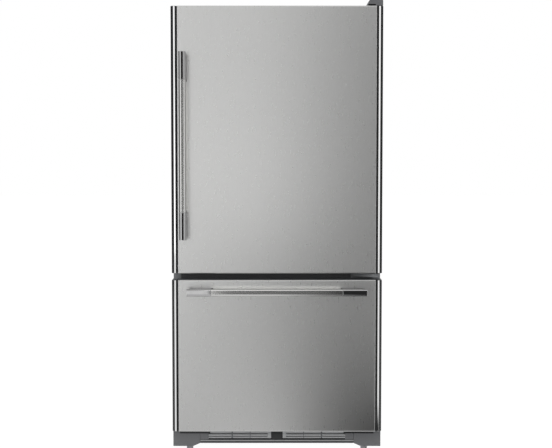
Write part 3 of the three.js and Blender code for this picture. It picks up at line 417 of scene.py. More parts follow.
# Grain sizes are those of the real surfaces where the render can show them. Brushing lines, paint
# pebbles and spark texture are a few tenths of a millimetre in life and drawn coarser to show.
recipes = {
    # Stainless sheet, brushed upright and clear coated: a soft, slightly cloudy mirror.
    "brushedStainless": {
        "name": "Stainless sheet brushed upright", "slot": "stainless_steel",
        "colours": ("c6c6c5", "cacac9"), "roughness": (0.27, 0.29), "grainMm": (4, 4, 30),
        "detail": 5.0, "shader": {"Metallic": 1.0},
    },
    # Bright chrome on moulded ABS: near mirror, with faint drawing lines along its length.
    "brightTrim": {
        "name": "Chrome plated ABS drawn trim", "slot": "bright_trim",
        "colours": ("e4e4e4", "ececec"), "roughness": (0.05, 0.08), "grainMm": (2, 2, 60),
        "shader": {"Metallic": 1.0},
    },
    # Extruded aluminium, satin anodised: softly blurred, lines along the bar.
    "satinUpright": {
        "name": "Aluminium extrusion satin anodised upright", "slot": "handle_metal",
        "colours": ("d2d2d0", "dcdcda"), "roughness": (0.09, 0.11), "grainMm": (1.5, 1.5, 70),
        "shader": {"Metallic": 1.0},
    },
    # The same extrusion lying level, its lines along the bar.
    "satinLevel": {
        "name": "Aluminium extrusion satin anodised level", "slot": "handle_metal",
        "colours": ("d2d2d0", "dcdcda"), "roughness": (0.09, 0.11), "grainMm": (70, 1.5, 1.5),
        "shader": {"Metallic": 1.0},
    },
    # Die cast zinc, polished and plated: a clean mirror with a trace of waviness.
    "platedCasting": {
        "name": "Zinc die casting polished and chromed", "slot": "handle_metal",
        "colours": ("bebebe", "c6c6c6"), "roughness": (0.03, 0.05), "grainMm": 18,
        "bumpMm": 0.004, "shader": {"Metallic": 1.0},
    },
    # The legs behind the handle ends: the same casting made dark, as painted shade for their sides
    # in the shadow behind the bars.
    "legShadeCasting": {
        "name": "Zinc die casting darkened as painted shade", "slot": "handle_metal",
        "colours": ("3e3e40", "464648"), "roughness": (0.16, 0.22), "grainMm": 14, "bumpMm": 0.01,
        "shader": {"Metallic": 1.0},
    },
    # The trims' carriers: gloss black moulding beside the bright strip.
    "blackTrim": {
        "name": "ABS moulded in gloss black", "slot": "black_plastic",
        "colours": ("1e1f20", "232425"), "roughness": (0.22, 0.3), "grainMm": (3, 3, 60),
    },
    # Steel sheet powder coated with a leather-like pebble.
    "pebblePaint": {
        "name": "Steel sheet with pebbled grey paint", "slot": "grey_painted_steel",
        "colours": ("76787a", "828486"), "roughness": (0.42, 0.55), "grainMm": 2.6,
        "cells": "round", "bumpMm": 0.12,
    },
    # The cabinet's front returns and rail: the same paint, smooth and darker, the darkness partly
    # the paint's own and partly painted shade of the gap between the doors.
    "darkPaintAndGapShade": {
        "name": "Steel sheet with smooth dark grey paint", "slot": "grey_painted_steel",
        "colours": ("424345", "4a4b4d"), "roughness": (0.4, 0.5), "grainMm": 6, "bumpMm": 0.02,
    },
    # Pressed can with baked black enamel.
    "blackEnamel": {
        "name": "Deep drawn steel with black enamel", "slot": "black_painted_steel",
        "colours": ("1c1d1e", "26272a"), "roughness": (0.28, 0.4), "grainMm": 8, "bumpMm": 0.03,
    },
    # Hot dip galvanised sheet: flat grey crystals, each a little lighter or darker.
    "galvanised": {
        "name": "Steel sheet galvanised with spangle", "slot": "zinc_steel",
        "colours": ("8f9294", "b4b7b9"), "roughness": (0.34, 0.5), "grainMm": 9, "cells": "flat",
        "shader": {"Metallic": 0.9},
    },
    # Roll formed slide members, bright zinc plated: long rolling lines.
    "zincSlide": {
        "name": "Roll formed steel bright zinc plated", "slot": "zinc_steel",
        "colours": ("a9acaf", "bfc2c4"), "roughness": (0.22, 0.34), "grainMm": (2, 90, 2),
        "shader": {"Metallic": 1.0},
    },
    # Aluminium as drawn and sheared: a pale, slightly hazy metal.
    "millAluminium": {
        "name": "Aluminium tube and fin in mill finish", "slot": "evaporator_aluminium",
        "colours": ("b9bbbd", "cdced0"), "roughness": (0.3, 0.45), "grainMm": (30, 4, 4),
        "shader": {"Metallic": 1.0},
    },
    # ABS moulded in a spark eroded tool: fine matt grain.
    "greyMoulding": {
        "name": "ABS moulded in grey with spark texture", "slot": "grey_plastic",
        "colours": ("626365", "6c6d6f"), "roughness": (0.46, 0.6), "grainMm": 1.6, "bumpMm": 0.05,
    },
    # The top hinge's cover: the same moulding in a darker grey.
    "charcoalMoulding": {
        "name": "ABS moulded in charcoal with spark texture", "slot": "grey_plastic",
        "colours": ("505153", "58595b"), "roughness": (0.46, 0.6), "grainMm": 1.6, "bumpMm": 0.05,
    },
    # The grille and the feet, moulded in a lighter grey: the same fine grain.
    "paleMoulding": {
        "name": "ABS moulded in light grey with spark texture", "slot": "grey_plastic",
        "colours": ("a3a4a5", "adaeaf"), "roughness": (0.44, 0.58), "grainMm": 1.6,
        "bumpMm": 0.05,
    },
    # Moulded polypropylene: deep black with a soft, waxy sheen.
    "blackMoulding": {
        "name": "Polypropylene moulded in black", "slot": "black_plastic",
        "colours": ("141516", "1c1d1f"), "roughness": (0.4, 0.55), "grainMm": 1.8, "bumpMm": 0.04,
    },
    # Rubber foam in near black under the hinge cover's front: painted shade for the dark recess
    # there. It swallows nearly all light.
    "recessShadeFoam": {
        "name": "Black foam strip as painted recess shade", "slot": "black_plastic",
        "colours": ("08080a", "0f0f10"), "roughness": (0.85, 1.0), "grainMm": 1.2,
        "cells": "round", "bumpMm": 0.15, "shader": {"Specular IOR Level": 0.1},
    },
    # White ABS from a lightly grained tool: even and half matt.
    "whiteMoulding": {
        "name": "ABS moulded in white with fine texture", "slot": "white_plastic",
        "colours": ("e6e8e8", "eceeee"), "roughness": (0.34, 0.44), "grainMm": 2, "bumpMm": 0.02,
    },
    # High impact polystyrene drawn over a mould: glossy, with a long shallow orange peel.
    "linerSheet": {
        "name": "Polystyrene sheet thermoformed in white", "slot": "white_liner",
        "colours": ("e9ebeb", "eff0f0"), "roughness": (0.18, 0.27), "grainMm": 11, "bumpMm": 0.03,
    },
    # Clear SAN: water clear, a cool edge tint, faint flow marks.
    "clearMoulding": {
        "name": "SAN moulded clear", "slot": "clear_plastic", "colours": ("e6eff2", "eef5f7"),
        "roughness": (0.04, 0.1), "grainMm": 40, "bumpMm": 0.02,
        "shader": {"Transmission Weight": 0.9, "IOR": 1.56, "Alpha": 0.6},
    },
    # Polystyrene of the freezer baskets: milky, blurring what is behind it.
    "frostedMoulding": {
        "name": "Polystyrene moulded frosted", "slot": "clear_plastic",
        "colours": ("dfeaee", "eaf2f5"), "roughness": (0.28, 0.4), "grainMm": 3, "bumpMm": 0.03,
        "shader": {"Transmission Weight": 0.6, "IOR": 1.58, "Alpha": 0.85},
    },
    # Tempered float glass: a green tint and almost no haze.
    "floatGlass": {
        "name": "Tempered float glass", "slot": "shelf_glass", "colours": ("e8f3ee", "eef7f3"),
        "roughness": (0.01, 0.03), "grainMm": 120,
        "shader": {"Transmission Weight": 1.0, "IOR": 1.52, "Alpha": 0.4},
    },
    # Extruded soft PVC: a dull grey without clear reflections.
    "softVinyl": {
        "name": "Soft PVC extruded gasket", "slot": "gasket", "colours": ("8a8c8e", "969899"),
        "roughness": (0.55, 0.7), "grainMm": 3, "bumpMm": 0.03,
    },
    # Foam as blown: yellowish, chalky and pitted.
    "rigidFoam": {
        "name": "Polyurethane foam as blown", "slot": "foam", "colours": ("d9cf9f", "e8dfb4"),
        "roughness": (0.8, 0.95), "grainMm": 3.5, "cells": "round", "bumpMm": 0.5,
    },
    # Opal polystyrene of the lamp lens: milky, with light carried inside it.
    "opalLens": {
        "name": "Polystyrene moulded opal", "slot": "white_plastic",
        "colours": ("f2f3f0", "f7f8f5"), "roughness": (0.25, 0.35), "grainMm": (5, 200, 200),
        "bumpMm": 0.3,
        "shader": {"Subsurface Weight": 0.3, "Subsurface Radius": (0.004, 0.004, 0.004)},
    },
}
finishes = {key: makeFinish(recipe) for key, recipe in recipes.items()}
print("finishes made:", len(finishes))


doorLook = {
    "edgeRoll": 4,  # how far the sheet's top and bottom edges roll back
    "sideRoll": 2.5,
    "rollDepth": 3.2,
    "return": 9,  # depth of the folded edge
    "corner": 2,
    "sheet": 1.2,  # wall of the folded edge
    "inner": 4,  # how far the sheet's inner face lies behind the front
    "innerInset": (9, 12),
}


# A pan of sheet: rings go from the flat face over a quarter ellipse to the folded edge, then back
# up the inside.
def addDoorPanel(node, body):
    low, high = spanOf(node)
    halfU, halfV = (high[0] - low[0]) / 2, (high[2] - low[2]) / 2
    front, corner, wall = low[1], doorLook["corner"], doorLook["sheet"]
    sideRoll, edgeRoll = pick(doorLook, "sideRoll", "edgeRoll")
    stations = [(front, halfU - sideRoll * 1.6, halfV - edgeRoll * 1.3, corner)]
    for t in np.radians(np.linspace(0, 90, 8)):
        inset, rise = 1 - math.sin(t), doorLook["rollDepth"] * (1 - math.cos(t))
        stations.append((front + rise, halfU - sideRoll * inset, halfV - edgeRoll * inset, corner))
    back, inner = front + doorLook["return"], front + doorLook["inner"]
    stations += [(back, halfU, halfV, corner), (back, halfU - wall, halfV - wall, 1)]
    insetU, insetV = doorLook["innerInset"]
    stations += [(inner, halfU - wall, halfV - wall, 1), (inner, halfU - insetU, halfV - insetV, 1)]
    part = ringStack(stations, (0, (low[2] + high[2]) / 2), "y", steps=3)
    addPiece(node.replace("panel", "sheet"), part, "brushedStainless", body, [node], sharp=50)


trimLook = {
    "flankDepth": 7,
    "crest": (0.4, 0.8),  # how far the carrier's narrow flat lies back at its inner and outer edge
    "crestInset": 0.5,
    "strip": 6.6,  # width of the bright strip
    "stripShift": 1.4,  # how far it lies towards the door's middle
    "stripRise": 1.2,
    "stripDepth": 5,
    "stripBlend": 0.8,
    "tilt": 8,  # the strip turns outwards by this many degrees
    "blend": 1.2,
    "carrierGap": (0.3, 2.5),  # distance from the trim's ends, and how far the ends are rounded
    "stripGap": (1.2, 1.2),
}


# A trim's carrier: flanks rising from the sheet and from the door's side to a narrow flat.
def carrierSection(low, high):
    inner, outer, front, back = low[0], high[0], low[1] + trimLook["stripRise"], high[1]
    flank = (outer - inner - trimLook["strip"]) / 2 - trimLook["crestInset"]
    fall, shift, crest = pick(trimLook, "flankDepth", "stripShift", "crest")
    corners = [(inner, back), (inner, front + fall), (inner + flank - shift, front + crest[0])]
    corners += [(outer - flank - shift, front + crest[1]), (outer, front + fall), (outer, back)]
    return roundedOutline(corners, trimLook["blend"])


# The bright strip: a flat bar turned a little outwards, its front edges rounded.
def stripSection(low, high):
    middle, front = (low[0] + high[0]) / 2 - trimLook["stripShift"], low[1]
    width, back = trimLook["strip"], front + trimLook["stripDepth"]
    half, drop = width / 2, width * math.tan(math.radians(trimLook["tilt"]))
    corners = [(middle - half, back), (middle - half, front), (middle + half, front + drop)]
    return roundedOutline([*corners, (middle + half, back)], trimLook["stripBlend"])


# An outline whose corners are cut by short quadratic arcs: each corner becomes points
# a (1-t)^2 + 2 p t (1-t) + b t^2 between its two neighbours a and b at the radius.
def roundedOutline(corners, radius, steps=4):
    corners = np.array(corners, float)
    before, after = np.roll(corners, 1, 0) - corners, np.roll(corners, -1, 0) - corners
    reach = [np.linalg.norm(side, axis=1)[:, None] for side in (before, after)]
    cut = np.minimum(radius, 0.45 * np.minimum(*reach))
    a, b = corners + before / reach[0] * cut, corners + after / reach[1] * cut
    t = np.linspace(0, 1, steps + 1)[None, :, None]
    curve = a[:, None] * (1 - t) ** 2 + 2 * corners[:, None] * t * (1 - t) + b[:, None] * t**2
    return curve.reshape(-1, 2)


def addTrims(front, body):
    node = front + "_trim_right"
    low, high = spanOf(node)
    parts = []
    for section, key in ((carrierSection, "carrierGap"), (stripSection, "stripGap")):
        gap, ease = trimLook[key]
        parts.append(drawn(section(low, high), "z", low[2] + gap, high[2] - gap, ease=ease))
    for side in ("right", "left"):
        carrier, strip = parts if side == "right" else map(mirrored, parts)
        name = front + "_side_trim_" + side
        addPiece(name, strip, "brightTrim", body, [front + "_trim_" + side], sharp=28)
        addPiece(name + "_carrier", carrier, "blackTrim", body, sharp=28)


handleLook = {
    # Widths of the rounded shoulders beside the bar's flat front face: an upright bar's right and
    # left, and a level bar's upper and lower.
    "shoulders": {"z": (9.5, 9.5), "x": (4.5, 9.5)},
    "shoulderDepth": 10,
    "backBulge": 2.8,
    "endDepth": 17,  # thickness of the end in front of its leg
    "setback": 6,  # how far the end stops short of its leg's foot
    "legStart": 0.7,
    "legSlant": 28,  # how far the leg's outer face moves in on its way to the door
    "legFlare": 6.5,
    "legCorner": 3.0,
    "legNarrow": 0.6,
}


# A bar's section across its length: flat face, two elliptic shoulders, and a back that bulges
# along a parabola. Points are (across from the middle, y). A point just inside each end of the
# flat keeps its shading flat.
def barSection(half, front, back, axis):
    fall, bulge, sides = handleLook["shoulderDepth"], handleLook["backBulge"], []
    across = np.linspace(half - 1.2, 1.5, 7)
    rear = np.stack([across, back - bulge * (across / half) ** 2], -1)
    for reach in handleLook["shoulders"][axis]:
        shoulder = arc((half - reach, front + fall), (reach, -fall), 90, 0, 9)
        corner = [(half, back - bulge - 1.5)]
        sides.append(np.concatenate([[(half - reach - 0.4, front)], shoulder, corner, rear]))
    return np.concatenate([sides[0], (sides[1] * [-1, 1])[::-1]])


# The same section in its place across the axis, and half its width and its middle.
def placedSection(low, high, back, axis):
    across = 2 if axis == "x" else 0
    half, middle = (high[across] - low[across]) / 2, (high[across] + low[across]) / 2
    section = barSection(half, low[1], back, axis) + [middle, 0]
    return section[:, ::-1] if axis == "x" else section, half, middle


# A handle's end: the bar's section over its length, and a leg behind it whose end slants back to
# the door. The leg's rings go from the bar down to a flared foot.
def handleEnd(low, high, axis, inward):
    k = axisOrder(axis)[0]
    back, foot = low[1] + handleLook["endDepth"], high[1]
    section, half, middle = placedSection(low, high, back, axis)
    end = low[k] if inward > 0 else high[k]
    reach = high[k] - low[k] - handleLook["setback"]
    body = drawn(section, axis, *sorted([end, end + inward * reach]), ease=1.2)
    depth = np.array([back - 3, back + 6, (back + foot) / 2, foot - 3, foot - 0.6, foot])
    share = (depth - back) / (foot - back)
    start, narrow, corner = pick(handleLook, "legStart", "legNarrow", "legCorner")
    outer = np.clip(start + handleLook["legSlant"] * share, start, None)
    inner = reach - start + handleLook["legFlare"] * np.clip(share, 0, 1) ** 2
    wide = half - narrow + narrow * np.clip(share, 0, 1) ** 3
    wide[-1] -= narrow
    sideU, sideV, turn = cornerTurns(4)
    rings = []
    for y, near, far, w in zip(depth, outer, inner, wide):
        long, mid = (far - near) / 2, end + inward * (far + near) / 2
        along = (mid + sideU * (long - corner) + corner * np.cos(turn)).ravel()
        across = (middle + sideV * (w - corner) + corner * np.sin(turn)).ravel()
        sides = (along, across) if axis == "x" else (across, along)
        rings.append(inOrder(*sides, y, "y"))
    return body, surface(np.array(rings))


def addHandle(front, axis, ends, body):
    node = front + "_handle_bar"
    low, high = spanOf(node)
    k = axisOrder(axis)[0]
    part = drawn(placedSection(low, high, high[1], axis)[0], axis, low[k], high[k], ease=0.4)
    finish = "satinUpright" if axis == "z" else "satinLevel"
    addPiece(front + "_handle_grip", part, finish, body, [node], sharp=30)
    for where, inward in ends:
        name = front + "_handle_mount_" + where
        end, leg = handleEnd(*spanOf(name), axis, inward)
        addPiece(name.replace("mount", "end"), end, "platedCasting", body, [name], sharp=30)
        # The legs get the dark casting, painted shade behind the bars.
        addPiece(name.replace("mount", "leg"), leg, "legShadeCasting", body, sharp=30)


for front, body in (("fridge", "fridge_door"), ("freezer", "freezer_drawer")):
    addDoorPanel(front + "_door_panel", body)
    addTrims(front, body)
addHandle("fridge", "z", [("upper", -1), ("lower", 1)], "fridge_door")
addHandle("freezer", "x", [("left", 1), ("right", -1)], "freezer_drawer")
print("door fronts made")


doorBodyLook = {
    "linerDepth": 6,  # white moulding behind the painted wrap
    "gasketGap": 0.3,
    "blend": 1.2,
    "inset": 0.6,  # how far the moulding's edge lies inside the wrap's
    "dykeWidth": 22,
    "dykeRound": 7,
    "dykeCorner": 30,
    "dykeFoot": 45,  # height of the dyke over the door's lower edge
    "dykeHead": 77,  # and its distance from the upper one
    # Half width and height of each door's dyke.
    "fridge": (352, 33),
    "freezer": (329.7, 22),
}


def doorBack(front):
    return spanOf(front + "_door_gasket")[0][1] - doorBodyLook["gasketGap"]


# A door without its sheet: a painted wrap stepped for the trims, and the white moulding behind it
# with a dyke carried round a rounded rectangle.
def addDoorBody(front, body, extras=()):
    node = front + "_door_liner"
    low, high = spanOf(node)
    gap, back = doorBodyLook["gasketGap"], doorBack(front)
    trimBack = spanOf(front + "_trim_right")[1][1] + gap
    split = back - doorBodyLook["linerDepth"]
    wide, narrow = high[0], spanOf(front + "_door_panel")[1][0] - gap
    right = [(narrow, low[1]), (narrow, trimBack), (wide, trimBack), (wide, split)]
    left = [(-x, y) for x, y in right[::-1]]
    outline = roundedOutline(right + left, doorBodyLook["blend"])
    wrap = drawn(outline, "z", low[2], high[2], ease=1.5)
    addPiece(front + "_door_wrap", wrap, "pebblePaint", body, [node], sharp=30)
    inset = doorBodyLook["inset"] * np.array([1, 0, 1])
    sheet = slab([-wide, split, low[2]] + inset, [wide, back, high[2]] - inset, "y", 9, 2.6)
    half, height = doorBodyLook[front]
    crest, bend, width = back + height, doorBodyLook["dykeRound"], doorBodyLook["dykeWidth"]
    near = arc((2.5 + bend, crest - bend), (bend, bend), 180, 90, 5)
    far = arc((width - 2.5 - bend, crest - bend), (bend, bend), 90, 0, 5)
    section = [(0, back - 1), (0.3, back + 3), *near, *far, (width - 0.3, back + 3)]
    section.append((width, back - 1))
    lowest = (-half, low[2] + doorBodyLook["dykeFoot"])
    highest = (half, high[2] - doorBodyLook["dykeHead"])
    dyke = carriedRound(section, lowest, highest, doorBodyLook["dykeCorner"])
    moulding = combined(sheet, dyke, *extras)
    addPiece(front + "_door_moulding", moulding, "linerSheet", body, sharp=40)


gasketLook = {
    "corner": 18,
    # The section's points: insets in millimetres, and shares of the gasket's depth.
    "inset": [0, 14, 14, 10.4, 12.4, 10.4, 13.6, 13.6, 12.8, 1.2, 0.4, 0.4, 3.6, 1.6, 3.6, 0],
    "share": [0, 0, 0.16, 0.28, 0.42, 0.56, 0.7, 0.94, 1, 1, 0.94, 0.7, 0.56, 0.42, 0.28, 0.16],
}


# A magnetic gasket: a bellows section carried round the door, wider at the magnet and the foot.
def addGasket(front, body):
    node = front + "_door_gasket"
    low, high = spanOf(node)
    depth = low[1] + np.array(gasketLook["share"]) * (high[1] - low[1])
    section = np.stack([gasketLook["inset"], depth], -1)
    part = carriedRound(section, low[[0, 2]], high[[0, 2]], gasketLook["corner"])
    addPiece(front + "_door_seal", part, "softVinyl", body, [node], sharp=50)


dairyLook = {
    "wall": 3,
    "cheek": 3.1,
    "lidPlate": 2.5,
    "lidDepth": 18,  # depth of the lid's ellipse
    "lidBehind": 14,  # how far the ellipse's middle lies in front of the pivot
    "barrel": 5,
    "pin": 3,
    "pinReach": 4,
}


# The dairy compartment's floor, roof and cheeks, which belong to the door's white moulding.
def dairyWalls(back):
    low, high = spanOf("dairy_lid")
    wall, near, front = dairyLook["wall"], back - 1, high[1] + 1
    reach, floor, roof = high[0] + 2, low[2] - 2, high[2] + 7
    shelf = slab((-reach, near, floor - wall), (reach, front, floor), "y", 1.4, 1.2)
    top = slab((-reach, near, roof), (reach, front, roof + wall), "y", 1.4, 1.2)
    inside = high[0] - dairyLook["cheek"]
    cheek = slab((inside, near, floor - 1), (reach, front, roof + 1), "x", 5, 1.2)
    return [shelf, top, *bothSides(cheek)]


# The dairy lid: an elliptic strip drawn across, on a round barrel with a pin at each end.
def addDairyLid():
    low, high = spanOf("dairy_lid")
    pivot = np.array(jointAt("dairy_lid_hinge"))[1:]
    pin, barrel, reach = pick(dairyLook, "pin", "barrel", "pinReach")
    half, thick = high[0] - reach, dairyLook["lidPlate"]
    rise, depth = (pivot[1] - low[2]) / 2, dairyLook["lidDepth"]
    centre = (pivot[0] - dairyLook["lidBehind"], (pivot[1] + low[2]) / 2)
    outer = arc(centre, (depth, rise), 90, -90, 22)
    inner = arc(centre, (depth - thick, rise - thick), -90, 90, 22)
    plate = drawn(np.concatenate([outer, inner]), "x", -half, half)
    web = slab((-half, pivot[0] - 15, pivot[1] - 5), (half, *pivot), "x", 1.5, 0.5)
    tip = half + reach
    ends = [(0, -tip), (pin - 0.5, -tip), (pin, 0.5 - tip), (pin, -half), (barrel, -half)]
    axle = turned(ends + [(r, -x) for r, x in ends[::-1]], (0, *pivot), "x", 20)
    lid = combined(plate, web, axle)
    addPiece("dairy_lid_shaped", lid, "clearMoulding", "dairy_lid", ["dairy_lid"])


binLook = {"wall": 2.6, "corner": 16, "draft": 4, "floorRound": 9, "lip": 1.6, "lipDepth": 9}


# Small ledges on the dyke's inner sides that carry the bins.
def binLedges(back):
    ledges = []
    for node in ("door_bin_upper", "door_bin_lower"):
        low, high = spanOf(node)
        near, far = (high[0] - 9, back - 1, low[2] - 8), (high[0] + 2, back + 24, low[2] - 0.4)
        ledges += bothSides(slab(near, far, "y", 3, 1.5))
    return ledges


def addBin(node):
    part = tub(*spanOf(node), **binLook)
    addPiece(node + "_shaped", part, "clearMoulding", "fridge_door", [node], sharp=40)


fridgeBack = doorBack("fridge")
addDoorBody("fridge", "fridge_door", dairyWalls(fridgeBack) + binLedges(fridgeBack))
addDoorBody("freezer", "freezer_drawer")
addGasket("fridge", "fridge_door")
addGasket("freezer", "freezer_drawer")
addBin("door_bin_upper")
addBin("door_bin_lower")
addDairyLid()
print("door bodies made")


linerLook = {
    "inside": 365,
    "wall": 2,
    "mouthRound": 6,
    "sideCorner": 10,
    "endCorner": 6,
    "flangeCorner": 4,
    "flange": 1.5,
    "backRound": 15,
    "stepRound": 12,
    "runner": 12,  # how far the shelf runners reach in
    "runnerHeight": 8,
    "basketRunner": (9, 14),  # height and reach
    "coverDepth": 14,  # height of the crisper cover's frame, which its runners carry
}


# A liner as rings stacked from front to back. Each row below is (y, inset from the inner walls,
# floor, ceiling, corner radius).
def linerRings(rows):
    stations = []
    for y, grow, floor, ceiling, corner in rows:
        halfV, middle = (ceiling - floor) / 2 + grow, (ceiling + floor) / 2
        stations.append((y, linerLook["inside"] + grow, halfV, max(corner, 0.5), middle))
    return stations


# A runner along both side walls, its top just under a height.
def runners(top, height, reach, front, rear):
    inside = linerLook["inside"]
    low, high = (inside - reach, front, top - height), (inside + 1, rear, top - 0.3)
    return bothSides(slab(low, high, "x", 3, 2))


# The white moulded insides: out over the flange, round the mouth, along the walls and round the
# back. The freezer's floor steps up over the machine room in two quarter circles. Each quarter
# circle runs over (1 - cos t, 1 - sin t).
def addLiner(node, floor, ceiling, step, extras):
    low, high = spanOf(node)
    wall, flange = pick(linerLook, "wall", "flange")
    endCorner, flangeCorner = pick(linerLook, "endCorner", "flangeCorner")
    corner, bend, mouth = pick(linerLook, "sideCorner", "backRound", "mouthRound")
    front, back, edge = low[1], high[1] - wall, high[0] - linerLook["inside"]
    turn = np.radians(np.linspace(0, 90, 6))
    quarter = [(1 - math.cos(t), 1 - math.sin(t)) for t in turn]
    full, rear = (floor, ceiling), (step[1] if step else floor, ceiling)
    rows = [(back + wall, grow, *rear, endCorner) for grow in (-bend * 1.5, wall - bend)]
    rows.append((back - bend, wall, *rear, corner))
    if step:
        at, round_ = step[0], linerLook["stepRound"]
        rows += [(at + round_ + wall, wall, *rear, corner), (at + wall, wall, *full, corner)]
    lip = (low[2] + edge, high[2] - edge, flangeCorner)
    rows.append((front + flange, wall, *full, flangeCorner))
    rows += [(front + flange, edge, *lip), (front, edge, *lip)]
    rows += [(front + mouth * c, mouth * s, *full, corner) for c, s in quarter]
    if step:
        for c, s in quarter:
            rows.append((at - round_ * s, 0, floor + round_ * c, ceiling, corner))
        for c, s in quarter:
            rows.append((at + round_ * c, 0, step[1] - round_ * s, ceiling, corner))
    rows += [(back - bend * s, -bend * c, *rear, corner) for c, s in quarter]
    rows.append((back, -bend * 1.6, *rear, endCorner))
    rings = ringStack(linerRings(rows), (0, 0), "y")
    addPiece(node + "_moulded", combined(rings, *extras), "linerSheet", "cabinet", [node], sharp=50)


def addFreshFoodLiner():
    low, high = spanOf("fresh_food_liner")
    edge = high[0] - linerLook["inside"]
    sizes, extras = (linerLook["runnerHeight"], linerLook["runner"]), []
    for node in ("crisper_cover", "shelf_lower", "shelf_upper"):
        front, rear = spanOf(node)
        under = rear[2] - linerLook["coverDepth"] if node == "crisper_cover" else front[2]
        extras += runners(under, *sizes, front[1] + 10, rear[1] - 10)
    addLiner("fresh_food_liner", low[2] + edge, high[2] - edge, None, extras)


def addFreezerLiner():
    low, high = spanOf("freezer_liner")
    edge = high[0] - linerLook["inside"]
    basketLow, basketHigh = spanOf("freezer_basket")
    cover = spanOf("evaporator_cover")[0]
    under = spanOf("freezer_upper_basket")[1][2] - 4.3
    extras = runners(under, *linerLook["basketRunner"], low[1] + 20, cover[1] - 5)
    step = (basketHigh[1] + 15, cover[2] - 0.3)
    addLiner("freezer_liner", basketLow[2] - 12, high[2] - edge, step, extras)


addFreshFoodLiner()
addFreezerLiner()


cabinetLook = {
    # The press in the back's middle: its distance from the edges, its depth, and how far over the
    # machine cover it starts.
    "press": (16, 1.1, 12),
    # Where the near-black strip lies that paints the shade of the recess under the hinge cover,
    # from the cover and the door.
    "sealWidth": (2.5, 33),  # from the hinge cover's inner side
    "sealDepth": (-0.5, 6),
    "sealHeight": (0.7, 6.3),  # over the door
}


def addCabinet():
    inset, depth, over = cabinetLook["press"]
    press = (inset, depth, spanOf("machine_cover")[1][2] + over)
    addRounded("cabinet_shell", press)
    for node in ("centre_rail", "base_frame", "corner_cover_right", "corner_cover_left"):
        addRounded(node)
    for node in ("machine_cover", "top_hinge_bracket", "top_hinge_cover"):
        addRounded(node)
    low, door = spanOf("top_hinge_cover")[0], spanOf("fridge_door_panel")[1][2]
    sizes = pick(cabinetLook, "sealWidth", "sealDepth", "sealHeight")
    corners = np.array(sizes).T + [low[0], low[1], door]
    # A near-black strip under the hinge cover's front paints the shade of its recess.
    addPiece("hinge_cover_seal", slab(*corners, "y", 2.4, 0.4), "recessShadeFoam", "cabinet", sharp=40)
    addRounded("centre_hinge_bracket")
    for node in ("cabinet_foam", "fridge_door_foam", "freezer_door_foam"):
        keepNode(node, "rigidFoam")


addCabinet()


grilleLook = {
    # Bottom and top of the level bars, as heights from the floor: the lip and the lowest bar run
    # right across, the others stop at the plain middle.
    "lip": (33, 36.5),
    "lowBar": (41.5, 45.2),
    "bars": [(53.2, 58.8), (61.6, 68.8), (72.8, 85)],
    "breaks": [(106.5, 1.2), (178, 3)],  # middle and half width of the posts in the upper bars
    "barDepth": 5,
    "centre": 36,
    "clip": 34,
    "clipFoot": 47.5,
    "wall": (7, 10),  # the duct wall's front and back, from the grille's front
    "latchHalf": 23,
    "latchHeight": 34,
    # Heights of black strips that are painted shade: over the corner covers' tops for the shadow
    # beneath the drawer, and a band behind the widest slot.
    "seal": (72, 80),
    "band": (44, 54.5),
}


